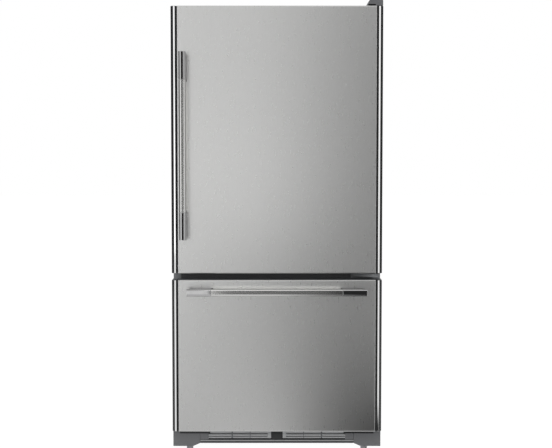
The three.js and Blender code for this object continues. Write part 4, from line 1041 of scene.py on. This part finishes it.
# The grille: level bars broken by dark posts, a plain middle with a latch, a clip block at each
# end, and a duct wall behind. Painted shade: the lip in the wall's darker grey, a black band in the
# widest slot, and black strips over the corner covers' tops.
def addGrille():
    low, high = spanOf("base_grille")
    front, edge, top = low[1], high[0], high[2]
    reach, centre = edge - grilleLook["clip"], grilleLook["centre"]
    foot, deep = grilleLook["bars"][0][0], front + grilleLook["barDepth"]
    stops = [centre]
    for middle, half in grilleLook["breaks"]:
        stops += [middle - half, middle + half]
    stops.append(reach + 1)
    parts = [
        slab((inner, front, bottom), (outer, deep, rise), "x", 1.6, 0.8)
        for inner, outer in zip(stops[::2], stops[1::2])
        for bottom, rise in grilleLook["bars"]
    ]
    parts += [mirrored(part) for part in parts]
    bottom, rise = grilleLook["lowBar"]
    parts.append(slab((-edge, front, bottom), (edge, deep, rise), "x", 1.2, 0.8))
    parts.append(slab((-edge, front + 1, top - 3), (edge, high[1], top), "x", 1.2, 0.6))
    parts.append(slab((-centre - 1, front, foot), (centre + 1, front + 4, top), "y", 1.2, 0.8))
    node = "base_grille"
    addPiece(node + "_moulded", combined(*parts), "paleMoulding", "cabinet", [node], sharp=40)
    near, far = (front + depth for depth in grilleLook["wall"])
    wall = slab((-edge, near, low[2]), (edge, far, top - 3), "y", 3, 1)
    posts = []
    for x, half in grilleLook["breaks"]:
        corner = (x - half - 1, front + 1.5, foot)
        posts.append(slab(corner, (x + half + 1, front + 8, top - 3), "z", 1, 0.6))
    clip = (reach, front - 0.4, grilleLook["clipFoot"])
    clip = slab(clip, (edge - 0.2, high[1], top - 1), "y", 2, 1)
    # The lip in the duct wall's darker grey is painted shade for the grille's shaded lower edge.
    bottom, rise = grilleLook["lip"]
    lip = slab((-edge, front, bottom), (edge, front + 8, rise), "x", 1.2, 0.8)
    parts = [wall, lip, *bothSides(clip), *posts, *(mirrored(post) for post in posts)]
    addPiece("grille_duct_wall", combined(*parts), "greyMoulding", "cabinet", sharp=40)
    half, foot = grilleLook["latchHalf"], top - grilleLook["latchHeight"]
    latch = slab((-half, front - 1.6, foot), (half, front + 2, top - 1), "y", 3, 1.4)
    finger = slab((4 - half, front - 3, foot + 5), (half - 4, front, top - 12), "y", 2, 1.2)
    # Black strips over the corner covers' tops paint the shadow beneath the drawer.
    bottom, rise = grilleLook["seal"]
    seal = slab((edge - 40, front - 0.8, bottom), (edge + 80, front + 3, rise), "x", 1.5, 0.6)
    # A black band behind the widest slot paints the shade inside it.
    bottom, rise = grilleLook["band"]
    band = slab((1 - edge, front + 4, bottom), (edge - 1, front + 6.5, rise), "x", 1, 0.4)
    parts = [latch, finger, band, *bothSides(seal)]
    addPiece("grille_latch_and_shade_strips", combined(*parts), "blackMoulding", "cabinet", sharp=40)


addGrille()


legLook = {
    "padHeight": 28,
    "flutes": 18,
    "fluteDepth": 0.025,
    "neck": 6,
    "pitch": 1.75,
    "threadDepth": 0.5,
}


# A levelling leg: a fluted pad, a neck, and a screw whose radius follows a triangle wave of
# z / pitch - turn / 2 pi.
def addLeg(side):
    node, body = "levelling_leg_" + side, "leg_" + side
    low, high = spanOf(node)
    x, y = (low[:2] + high[:2]) / 2
    radius, top, neck = (high[0] - low[0]) / 2, legLook["padHeight"], legLook["neck"]
    r = radius / (1 + legLook["fluteDepth"])
    profile = [(0, 0), (r - 2.5, 0), (r - 0.7, 0.7), (r, 2.5), (r, top - 1.5)]
    profile += [(r - 0.5, top - 0.4), (r - 2, top), (neck + 1, top + 2), (neck, top + 6)]
    profile.append((0, top + 6))
    pad = turned(profile, (x, y, 0), "z", 72, legLook["flutes"], legLook["fluteDepth"])
    z = np.arange(top + 4, high[2], legLook["pitch"] / 6)[:, None]
    turn = fullTurn(24)
    wave = np.abs((z / legLook["pitch"] - turn / (2 * np.pi)) % 1 - 0.5) * 2
    reach = neck - legLook["threadDepth"] * wave
    across, up = x + reach * np.cos(turn), y + reach * np.sin(turn)
    screw = surface(inOrder(across, up, np.minimum(z, high[2]), "z"))
    addPiece(node + "_foot", pad, "paleMoulding", body, [node], sharp=40)
    addPiece(node + "_screw", screw, "zincSlide", body, sharp=60)


rollerLook = {"hub": 9, "dish": 3, "shoulder": 3, "axle": 5, "axleReach": 5}


# A rear roller: a tyre with rounded shoulders, dished cheeks, a hub and the axle's ends.
def addRoller(side):
    node = "rear_roller_" + side
    low, high = spanOf(node)
    radius, half = (high[2] - low[2]) / 2, (high[0] - low[0]) / 2
    wheel, axle = half - rollerLook["axleReach"], rollerLook["axle"]
    hub, dish, blend = rollerLook["hub"], wheel - rollerLook["dish"], rollerLook["shoulder"]
    shoulder = arc((wheel - blend, radius - blend), (blend, blend), 0, 90, 5)
    right = [(0, half), (axle - 0.6, half), (axle, half - 0.6), (axle, wheel), (hub, wheel)]
    right += [(hub, dish), (radius - 6, dish), (radius - 5, wheel), *shoulder[:, ::-1]]
    part = turned(right + [(r, -x) for r, x in right[::-1]], (low + high) / 2, "x", 48)
    addPiece(node + "_turned", part, "blackMoulding", "roller_" + side, [node], sharp=40)


for side in ("right", "left"):
    addLeg(side)
    addRoller(side)
print("cabinet made")


compressorLook = {
    "plateHeight": 14,
    "plateHalf": 58,
    "plateCorner": 14,
    "seam": 0.46,  # share of the can's height
    "seamReach": 2.6,
    "dome": 42,
    "foot": (15, 14),  # the rounding at the can's foot
    "cover": (24, 40, 30, 88),  # the wiring cover's half width, reach, foot and head
    "stub": (30, 52, 4),  # the tube stub's place from the middle, and its radius
    "grommet": 10,
    "grommetPlace": (84, 42),
}


# A hermetic can on its plate: the two pressed halves meet at a welded seam, and rubber grommets
# carry the plate.
def addCompressor():
    low, high = spanOf("compressor")
    x, y, _ = (low + high) / 2
    bottom, half = low[2], compressorLook["plateHalf"]
    plateZ = bottom + compressorLook["plateHeight"]
    radius, dome = (high[1] - low[1]) / 2, compressorLook["dome"]
    seam = plateZ + (high[2] - plateZ) * compressorLook["seam"]
    body, (footU, footV) = radius - compressorLook["seamReach"], compressorLook["foot"]
    foot = arc((body - footU - 1, plateZ + footV), (footU, footV), -90, 0, 5)
    crown = arc((0, high[2] - dome), (body - 1, dome), 0, 90, 12)
    profile = [(0, plateZ), *foot, (body, seam - 4), (radius, seam - 3), (radius, seam + 1)]
    can = turned([*profile, (body - 1, seam + 2), *crown], (x, y, 0), "z", 56)
    plate = (low[0], y - half, plateZ - 2), (high[0], y + half, plateZ + 2.8)
    plate = slab(*plate, "z", compressorLook["plateCorner"], 1.2)
    width, reach, start, head = compressorLook["cover"]
    cover = (low[0] + 4, y - width, plateZ + start), (low[0] + reach, y + width, plateZ + head)
    aside, behind, thick = compressorLook["stub"]
    path = [(x + aside, y + behind, seam + 12 + rise) for rise in (0, 10, 20, 30)]
    parts = combined(can, plate, tube(path, thick, (1, 0, 0)))
    addPiece("compressor_can", parts, "blackEnamel", "cabinet", ["compressor"])
    r, head = compressorLook["grommet"], plateZ - 2
    rings = [(0, bottom), (r - 1, bottom), (r, bottom + 1), (r, bottom + 5), (r - 3, bottom + 6.5)]
    rings += [(r, bottom + 8), (r, head), (0, head)]
    acrossX, acrossY = compressorLook["grommetPlace"]
    places = [(x + u * acrossX, y + v * acrossY, 0) for u in (-1, 1) for v in (-1, 1)]
    parts = [slab(*cover, "x", 6, 3), *(turned(rings, place, "z", 24) for place in places)]
    addPiece("compressor_grommets", combined(*parts), "blackMoulding", "cabinet")


fanLook = {
    "blades": 5,
    "lift": 1.1,  # half a blade's thickness
    "camber": 2.5,
    "shaft": 3,
    # Each fan's axis, reach, hub radius, and how far its shaft goes; its blades' width and pitch
    # at the hub and at the tip.
    "condenser": ("x", 71, 20, 19.6, (30, 44), (50, 30)),
    "evaporator": ("y", 51, 15, -14.5, (20, 32), (50, 32)),
}


# An axial fan. At radius r a blade's section is an ellipse turned by the pitch and wrapped round
# the axis: along = c cos s sin p + t sin s cos p, round = c cos s cos p - t sin s sin p, over r.
def addFan(kind):
    node = kind + "_fan"
    axis, tip, hub, shaft, chords, pitches = fanLook[kind]
    centre = np.array(jointAt(node + "_spin"))
    r = np.linspace(hub - 2, tip, 10)[:, None]
    share = (r - r[0]) / (r[-1] - r[0])
    chord = chords[0] + (chords[1] - chords[0]) * share
    chord = chord * np.sqrt(np.clip(1 - (share**6) * 0.5, 0, 1)) / 2
    pitch = np.radians(pitches[0] + (pitches[1] - pitches[0]) * share)
    s = fullTurn(18)
    camber = fanLook["camber"] * np.sin(s / 2) ** 2 * np.cos(s / 2) ** 2 * 4
    lift = fanLook["lift"] * np.sin(s) + camber
    along = chord * np.cos(s) * np.sin(pitch) + lift * np.cos(pitch)
    around = (chord * np.cos(s) * np.cos(pitch) - lift * np.sin(pitch)) / r
    parts = []
    for turn in np.arange(fanLook["blades"]) * 2 * np.pi / fanLook["blades"]:
        across, up = r * np.cos(around + turn), r * np.sin(around + turn)
        parts.append(surface(inOrder(across, up, along, axis) + centre))
    dome = [(0, -8), (hub - 3, -8), (hub, -5), (hub, 5), (hub - 3, 8)]
    dome += [(hub * 0.6, 8), (hub * 0.5, 6), (0, 6)]
    parts.append(turned(dome, centre, axis, 36))
    near, far = sorted([0, shaft])
    thick = fanLook["shaft"]
    parts.append(turned([(0, near), (thick, near), (thick, far), (0, far)], centre, axis, 12))
    addPiece(node + "_blades", combined(*parts), "greyMoulding", node, [node], sharp=40)


addCompressor()
addFan("condenser")
addFan("evaporator")
for node in ("condenser_fan_motor", "condenser_coil", "evaporator_coil"):
    addRounded(node)
print("machine room made")


shelfLook = {"frame": 24, "glass": 4, "corner": 9, "paneInset": 4.6, "paneCorner": 5}


# A shelf: a moulded frame carried round the glass, and the pane lying in its rebate.
def addShelf(node, extras=()):
    low, high = spanOf(node)
    bottom, top = (high[2] - linerLook["coverDepth"] if extras else low[2]), high[2]
    w, rebate = shelfLook["frame"], top - shelfLook["glass"] - 0.4
    section = [(0, bottom + 3), (0, top - 1.2), (1.2, top), (3.2, top), (3.8, top - 0.5)]
    section += [(4, rebate), (w, rebate), (w, bottom + 6), (w - 2, bottom + 5), (9, bottom)]
    section.append((3, bottom))
    ring = carriedRound(section, low[:2], high[:2], shelfLook["corner"], axis="z")
    front = slab((low[0] + 6, low[1], bottom), (high[0] - 6, low[1] + 9, top), "x", 3.5, 2)
    part = combined(ring, front, *extras)
    addPiece(node + "_frame", part, "whiteMoulding", "cabinet", [node], sharp=40)
    inset = shelfLook["paneInset"]
    near, far = (*(low[:2] + inset), rebate + 0.1), (*(high[:2] - inset), top - 0.3)
    pane = slab(near, far, "z", shelfLook["paneCorner"], 0.7)
    addPiece(node + "_pane", pane, "floatGlass", "cabinet", sharp=50)


def addCrisperCover():
    low, high = spanOf("crisper_cover")
    divider = slab((-4, low[1] + 20, low[2]), (4, high[1] - 5, high[2] - 5), "x", 3, 1.5)
    addShelf("crisper_cover", [divider])


crisperLook = {
    "tub": {"wall": 2.6, "corner": 14, "draft": 4, "floorRound": 13},
    "pullDepth": 12,  # how far the tub stands behind the pull's face
    "pull": (15, 26, 30),  # depth of the pull's top, and height of its face and of its lip
    "plate": 4,
}


# A crisper: a clear tub with a hooked pull drawn along its front.
def addCrisper(side):
    node = "crisper_" + side
    low, high = spanOf(node)
    y, z, plate = low[1], high[2], crisperLook["plate"]
    box = tub(low + [0, crisperLook["pullDepth"], 0], high, **crisperLook["tub"])
    deep, face, lip = crisperLook["pull"]
    hook = [(y + deep, z), (y, z), (y, z - face), (y + 3, z - lip), (y + 3.4, z - lip)]
    hook += [(y + 3.4, z - plate), (y + deep, z - plate)]
    pull = drawn(roundedOutline(hook, 1.5), "x", low[0] + 0.5, high[0] - 0.5, ease=1)
    addPiece(node + "_tub", box, "clearMoulding", node, [node], sharp=40)
    addPiece(node + "_pull", pull, "whiteMoulding", node, sharp=40)


controlLook = {
    "lens": ((16, 40, -2.5), (150, 3)),  # from the box's lowest corner
    "lensEnd": -10,
    "louvres": 9,
    "louvreStart": 22,
    "louvrePitch": 11,
    "knobRibs": 18,
    "knobRibDepth": 0.02,
    "gripHalf": 2.6,
}


# The control housing with an opal lens under it and louvres in its face, and the ribbed knob.
def addControls():
    low, high = spanOf("control_box")
    addRounded("control_box")
    near, far = controlLook["lens"]
    far = (controlLook["lensEnd"], *(low[1:] + far))
    addPiece("lamp_lens", slab(low + near, far, "z", 8, 2), "opalLens", "cabinet")
    places = controlLook["louvrePitch"] * np.arange(controlLook["louvres"])
    bars = [
        slab((x, low[1] - 0.9, low[2] + 10), (x + 5, low[1] + 2, high[2] - 10), "y", 2, 0.8)
        for x in low[0] + controlLook["louvreStart"] + places
    ]
    addPiece("control_louvres", combined(*bars), "greyMoulding", "cabinet")
    node, half = "control_knob", controlLook["gripHalf"]
    low, high = spanOf(node)
    (x, _, z), radius, front, back = (low + high) / 2, (high[0] - low[0]) / 2, low[1], high[1]
    profile = [(0, back), (radius, back), (radius, back - 3), (radius - 1, front + 5)]
    profile += [(radius - 2.5, front + 4), (0, front + 4)]
    ribs = (controlLook["knobRibs"], controlLook["knobRibDepth"])
    dial = turned(profile, (x, 0, z), "y", 72, *ribs)
    grip = slab((x - half, front, low[2] + 1), (x + half, back - 4, high[2] - 1), "y", 2.4, 1.4)
    addPiece(node + "_dial", combined(dial, grip), "greyMoulding", node, [node])


ductLook = {"half": 62, "depth": 9, "slots": 6, "foot": 40, "head": 60, "slotInset": 60}


# The air duct down the back wall, with its outlet hoods.
def addDuct():
    high = spanOf("fresh_food_liner")[1]
    back, half, inset = high[1] - linerLook["wall"], ductLook["half"], ductLook["slotInset"]
    front, top = back - ductLook["depth"], high[2] - ductLook["head"]
    bottom = spanOf("crisper_cover")[1][2] + ductLook["foot"]
    panel = slab((-half, front, bottom), (half, back + 1, top), "y", 14, 4)
    hoods = [
        slab((16 - half, front - 2.2, z), (half - 16, back - 5, z + 7), "y", 3, 1.5)
        for z in np.linspace(bottom + inset, top - inset, ductLook["slots"])
    ]
    addPiece("fresh_air_duct", combined(panel, *hoods), "whiteMoulding", "cabinet")


addShelf("shelf_lower")
addShelf("shelf_upper")
addCrisperCover()
addCrisper("right")
addCrisper("left")
addControls()
addDuct()
print("fresh food space made")


slideLook = {"lip": 5, "lipGauge": 1.3, "gauge": 1.5, "blend": 0.6}


# A telescopic member: a C section with rolled lips, drawn from front to back.
def addSlide(member, side, body):
    node = "slide_" + member + "_right"
    low, high = spanOf(node)
    inner, outer, bottom, top = low[0], high[0], low[2], high[2]
    lip, gauge, lipInner = slideLook["lip"], slideLook["gauge"], inner + slideLook["lipGauge"]
    corners = [(outer, bottom), (outer, top), (inner, top), (inner, top - lip)]
    corners += [(lipInner, top - lip), (lipInner, top - gauge), (outer - gauge, top - gauge)]
    corners += [(outer - gauge, bottom + gauge), (lipInner, bottom + gauge)]
    corners += [(lipInner, bottom + lip), (inner, bottom + lip), (inner, bottom)]
    part = drawn(roundedOutline(corners, slideLook["blend"], 2), "y", low[1], high[1])
    part = part if side == "right" else mirrored(part)
    name = node.replace("right", side)
    addPiece(name + "_rolled", part, "zincSlide", body, [name], sharp=40)


basketLook = {
    "tub": {"wall": 3, "corner": 24, "draft": 3, "floorRound": 12},
    "half": {"freezer_basket": 337.4, "freezer_upper_basket": 348},
    "flange": 4,
    "hem": 16,
}


# A freezer basket: a frosted tub with a flange and a hem along each side.
def addBasket(node, body):
    low, high = spanOf(node)
    half, top, hem = basketLook["half"][node], high[2], basketLook["hem"]
    (_, front, bottom), back = low, high[1]
    box = tub((-half, front, bottom), (half, back, top), **basketLook["tub"])
    flange = (half - 6, front + 8, top - basketLook["flange"]), (high[0], back - 8, top)
    hem = (half - 3.2, front + 12, top - hem), (half - 0.4, back - 12, top - 1)
    parts = [box, *bothSides(slab(*flange, "y", 1.8, 1.2), slab(*hem, "y", 1.2, 0.8))]
    addPiece(node + "_tub", combined(*parts), "frostedMoulding", body, [node], sharp=40)


for member, body in (("outer", "cabinet"), ("middle", "middle_slides")):
    for side in ("right", "left"):
        addSlide(member, side, body)
addRounded("drawer_rail_right")
addRounded("drawer_rail_left")
addBasket("freezer_basket", "freezer_drawer")
addBasket("freezer_upper_basket", "upper_basket")
addRounded("evaporator_cover")
print("freezer space made")


lightLook = {
    "worldDiffuse": 0.5,
    "floorWhite": 0.86,
    "floorGrey": 0.82,
    "floorGlow": 1.12,
    "floorReach": 30,
    # Sizes and places of the wall, the card and the floor are in metres.
    "imageGlow": 3.8,  # how much brighter the studio is in a third mirror than in the first
    "wallRadius": 6.0,
    "wallHeight": 8.0,
    "wallWhiteFrom": 3.1,  # above this the wall is plain white
    "farBand": 0.3,  # height of the wall's lower band, which goes on in the card's far end
    "cardFar": -5.1,
    "cardNear": -0.45,
    "cardHalf": 3.5,
    "wallBlend": (0.3, 1.9),  # heights between which the low wall passes into the high one
    # What the studio wall shows to polished metal, by bearing in degrees from straight ahead.
    "wallHigh": [
        (-26, 1.15), (-12, 1.35), (-9.7, 1.7), (-9.4, 0.04), (-6.2, 0.04), (-5.9, 1.7), (-4, 1.2),
        (0, 0.94), (4, 0.58), (8, 0.22), (11, 0.11), (17, 0.12), (22, 1.1), (26, 1.1),
    ],
    "wallLow": [
        (-26, 1.7), (-12, 1.8), (-9.7, 2.0), (-9.4, 0.04), (-6.2, 0.04), (-5.9, 2.0), (-4, 1.85),
        (0, 1.75), (4, 0.5), (8, 0.02), (11, 0.02), (18, 0.02), (22, 1.1), (26, 1.1),
    ],
    # The wall round the left and the right side, which the trims' and bars' flanks mirror.
    "wallLeft": [(26, 0.9), (53, 0.8), (58, 0.05), (84, 0.05), (120, 0.35), (180, 0.5)],
    "wallRight": [(26, 1.1), (56, 1.0), (60, 0.05), (78, 0.05), (84, 1.0), (120, 0.8), (180, 0.5)],
    # The wall's lower band and the card's far end, which the drawer's handle mirrors.
    "far": [
        (-26, 1.0), (-12, 0.95), (-5.7, 0.95), (-5.3, 0.12), (4.7, 0.12), (5.0, 0.03),
        (8.2, 0.03), (9, 0.15), (17, 0.2), (22, 1.0), (26, 1.0),
    ],
    # The card on the floor, by the place on the door in metres that mirrors it to the camera.
    "card": [
        (-1.2, 1.0), (-0.47, 0.9), (-0.4, 0.68), (-0.2, 0.73), (0, 0.65), (0.2, 0.22),
        (0.38, 0.02), (0.52, 0.02), (0.62, 0.95), (1.2, 1.0),
    ],
}


# Which rays see the bright studio: those of the camera, of mirrors and of glass.
def seenRays(tree):
    path = addNode(tree, "LightPath")
    seen = path["Is Camera Ray"]
    for kind in ("Is Glossy Ray", "Is Transmission Ray"):
        inputs = {0: seen, 1: path[kind]}
        seen = addNode(tree, "Math", inputs, operation="MAXIMUM")[0]
    return seen


def makeWorld():
    world = bpy.data.worlds.new("studio")
    bpy.context.scene.world = world
    world.use_nodes = True
    tree = world.node_tree
    tree.nodes.clear()
    strengths = (lightLook["worldDiffuse"], 1.0)
    inputs = [{"Color": (1, 1, 1, 1), "Strength": strength} for strength in strengths]
    dim, white = (addNode(tree, "Background", values)[0] for values in inputs)
    mix = addNode(tree, "MixShader", {0: seenRays(tree), 1: dim, 2: white})
    addNode(tree, "OutputWorld", {"Surface": mix[0]})


def addStage(name, part, material):
    mesh = newMesh(name, part)
    mesh.materials.append(material)
    stageObject = newObject(name, mesh)
    return stageObject


def makeFloor():
    material, tree = emptyMaterial("Matt white studio floor")
    grey = (*[lightLook["floorGrey"]] * 3, 1)
    matt = addNode(tree, "BsdfDiffuse", {"Color": grey})[0]
    inputs = {"Color": (1, 1, 1, 1), "Strength": lightLook["floorGlow"]}
    glow = addNode(tree, "Emission", inputs)[0]
    inputs = {0: seenRays(tree), 1: lightLook["floorWhite"]}
    share = addNode(tree, "Math", inputs, operation="MULTIPLY")[0]
    mix = addNode(tree, "MixShader", {0: share, 1: matt, 2: glow})
    addNode(tree, "OutputMaterial", {"Surface": mix[0]})
    reach = lightLook["floorReach"] * 1000
    corners = [(-reach, -reach, 0), (reach, -reach, 0), (reach, reach, 0), (-reach, reach, 0)]
    addStage("studio_floor", (np.array(corners, float), [[0, 1, 2, 3]]), material)


# Only mirrors see the wall round the object and the card on the floor.
def hideFromAllButMirrors(stageObject):
    for kind in ("camera", "diffuse", "transmission", "shadow", "volume_scatter"):
        setattr(stageObject, "visible_" + kind, False)


# A ramp of brightness through stops of (place, brightness).
def rampOf(tree, factor, stops):
    low, high = stops[0][0], stops[-1][0]
    place = addNode(tree, "MapRange", {0: factor, 1: low, 2: high})[0]
    ramp = addNode(tree, "ValToRGB", {0: place})
    elements = ramp[0].node.color_ramp.elements
    for index, (at, value) in enumerate(stops):
        share = (at - low) / (high - low)
        element = elements[index] if index < 2 else elements.new(share)
        element.position = share
        level = value / 2
        element.color = (level, level, level, 1)
    return ramp[0]


# Bearing from straight ahead of the object's middle, in degrees.
def bearingOf(tree, axes):
    ahead = addNode(tree, "Math", {0: axes["Y"], 1: -1.0}, operation="MULTIPLY")[0]
    turn = addNode(tree, "Math", {0: axes["X"], 1: ahead}, operation="ARCTAN2")[0]
    return addNode(tree, "Math", {0: turn}, operation="DEGREES")[0]


def placeAxes(tree):
    place = addNode(tree, "TexCoord")["Object"]
    return addNode(tree, "SeparateXYZ", {0: place})


# The studio's glow: brighter to a ray that has gone sheet, bar's back, sheet, so that the bars'
# own images in the sheets stay as faint as the photo has them.
def glowAfterBounces(tree):
    bounces = addNode(tree, "LightPath")["Glossy Depth"]
    inputs = {0: bounces, 1: 2.0, 2: 3.0, 3: 2.0, 4: 2.0 * lightLook["imageGlow"]}
    return addNode(tree, "MapRange", inputs)[0]


# One colour passes into another as a value goes from start to end.
def passOver(tree, value, start, end, first, second):
    share = addNode(tree, "MapRange", {0: value, 1: start, 2: end})[0]
    mix = addNode(tree, "Mix", {0: share, 6: first, 7: second}, data_type="RGBA")
    return mix[2]


# The wall: its bearing ramp, with the far band below and plain white above.
def makeWall():
    material, tree = emptyMaterial("Studio wall in mirrors")
    axes = placeAxes(tree)
    bearing = bearingOf(tree, axes)
    ramps = [rampOf(tree, bearing, lightLook[key]) for key in ("wallLow", "wallHigh", "far")]
    level = passOver(tree, axes["Z"], *lightLook["wallBlend"], *ramps[:2])
    band, white = pick(lightLook, "farBand", "wallWhiteFrom")
    level = passOver(tree, axes["Z"], band, band + 0.06, ramps[2], level)
    level = passOver(tree, axes["Z"], white, white + 0.6, level, (0.5, 0.5, 0.5, 1))
    aside = addNode(tree, "Math", {0: bearing}, operation="ABSOLUTE")[0]
    left, right = (rampOf(tree, aside, lightLook[key]) for key in ("wallLeft", "wallRight"))
    sides = passOver(tree, bearing, -1, 1, left, right)
    level = passOver(tree, aside, 24, 26, level, sides)
    glow = addNode(tree, "Emission", {"Color": level, "Strength": glowAfterBounces(tree)})
    addNode(tree, "OutputMaterial", {"Surface": glow[0]})
    turn = fullTurn(96)
    radius = lightLook["wallRadius"] * 1000
    height = np.array([0, lightLook["wallHeight"] * 1000])[:, None]
    points = inOrder(radius * np.cos(turn), radius * np.sin(turn), height, "z")
    hideFromAllButMirrors(addStage("studio_wall", surface(points, capped=False), material))


# The card on the floor in front. The camera's image behind the door plane looks at a floor point
# (x, y) through the door at x d / (d + door - y), d being the camera's distance from the door.
def makeCard():
    material, tree = emptyMaterial("Studio card in mirrors")
    axes = placeAxes(tree)
    door = spanOf("fridge_door_panel")[0][1] / 1000
    distance = door - cameraLook["place"][1]
    inputs = {0: distance + door, 1: axes["Y"]}
    reach = addNode(tree, "Math", inputs, operation="SUBTRACT")[0]
    across = addNode(tree, "Math", {0: axes["X"], 1: reach}, operation="DIVIDE")[0]
    across = addNode(tree, "Math", {0: across, 1: distance}, operation="MULTIPLY")[0]
    level, end = rampOf(tree, across, lightLook["card"]), lightLook["cardFar"]
    far = rampOf(tree, bearingOf(tree, axes), lightLook["far"])
    level = passOver(tree, axes["Y"], end, end + 0.3, far, level)
    glow = addNode(tree, "Emission", {"Color": level, "Strength": 2.0})
    addNode(tree, "OutputMaterial", {"Surface": glow[0]})
    wide, near, radius = np.array(pick(lightLook, "cardHalf", "cardNear", "wallRadius")) * 1000
    far = -math.sqrt(radius**2 - wide**2)
    turn = np.linspace(math.atan2(far, wide), math.atan2(far, -wide), 40)
    rim = np.stack([radius * np.cos(turn), radius * np.sin(turn), np.full_like(turn, 2)], -1)
    corners = np.concatenate([rim, [[-wide, near, 2], [wide, near, 2]]])
    face = list(range(len(corners)))
    hideFromAllButMirrors(addStage("studio_card", (corners, [face]), material))


# Each lamp's place and size in metres, its watts, and the point it is turned to.
lampLook = {
    "overhead_softbox": ((0, -1.2, 3.6), (3.0, 3.0), 52, (0, 0, 0.6)),
    "left_softbox": ((-2.6, -3.2, 2.0), (1.6, 2.4), 42, (0, 0, 0.9)),
    "right_softbox": ((2.8, -2.6, 1.8), (1.2, 2.0), 18, (0, 0, 0.9)),
}


def addLamp(name, place, size, watts, target):
    lamp = bpy.data.lights.new(name, "AREA")
    lamp.shape = "RECTANGLE"
    lamp.size, lamp.size_y = size
    lamp.energy = watts
    holder = newObject(name, lamp)
    holder.location = place
    direction = np.array(target, float) - place
    pitch = math.atan2(math.hypot(direction[0], direction[1]), -direction[2])
    holder.rotation_euler = (pitch, 0, math.atan2(-direction[0], direction[1]))
    holder.visible_glossy = False


cameraLook = {"place": (-0.0035, -4.8345, 1.170), "lens": 74.56, "pitchDown": 3.323}


def makeCamera():
    camera = bpy.data.cameras.new("photo_camera")
    camera.sensor_width = 36
    camera.lens = cameraLook["lens"]
    holder = newObject("photo_camera", camera)
    holder.location = cameraLook["place"]
    holder.rotation_euler = (math.radians(90 - cameraLook["pitchDown"]), 0, 0)
    bpy.context.scene.camera = holder


makeWorld()
makeFloor()
makeWall()
makeCard()
for name, settings in lampLook.items():
    addLamp(name, *settings)
makeCamera()
bpy.context.scene.view_settings.view_transform = "Standard"
print("scene lit")
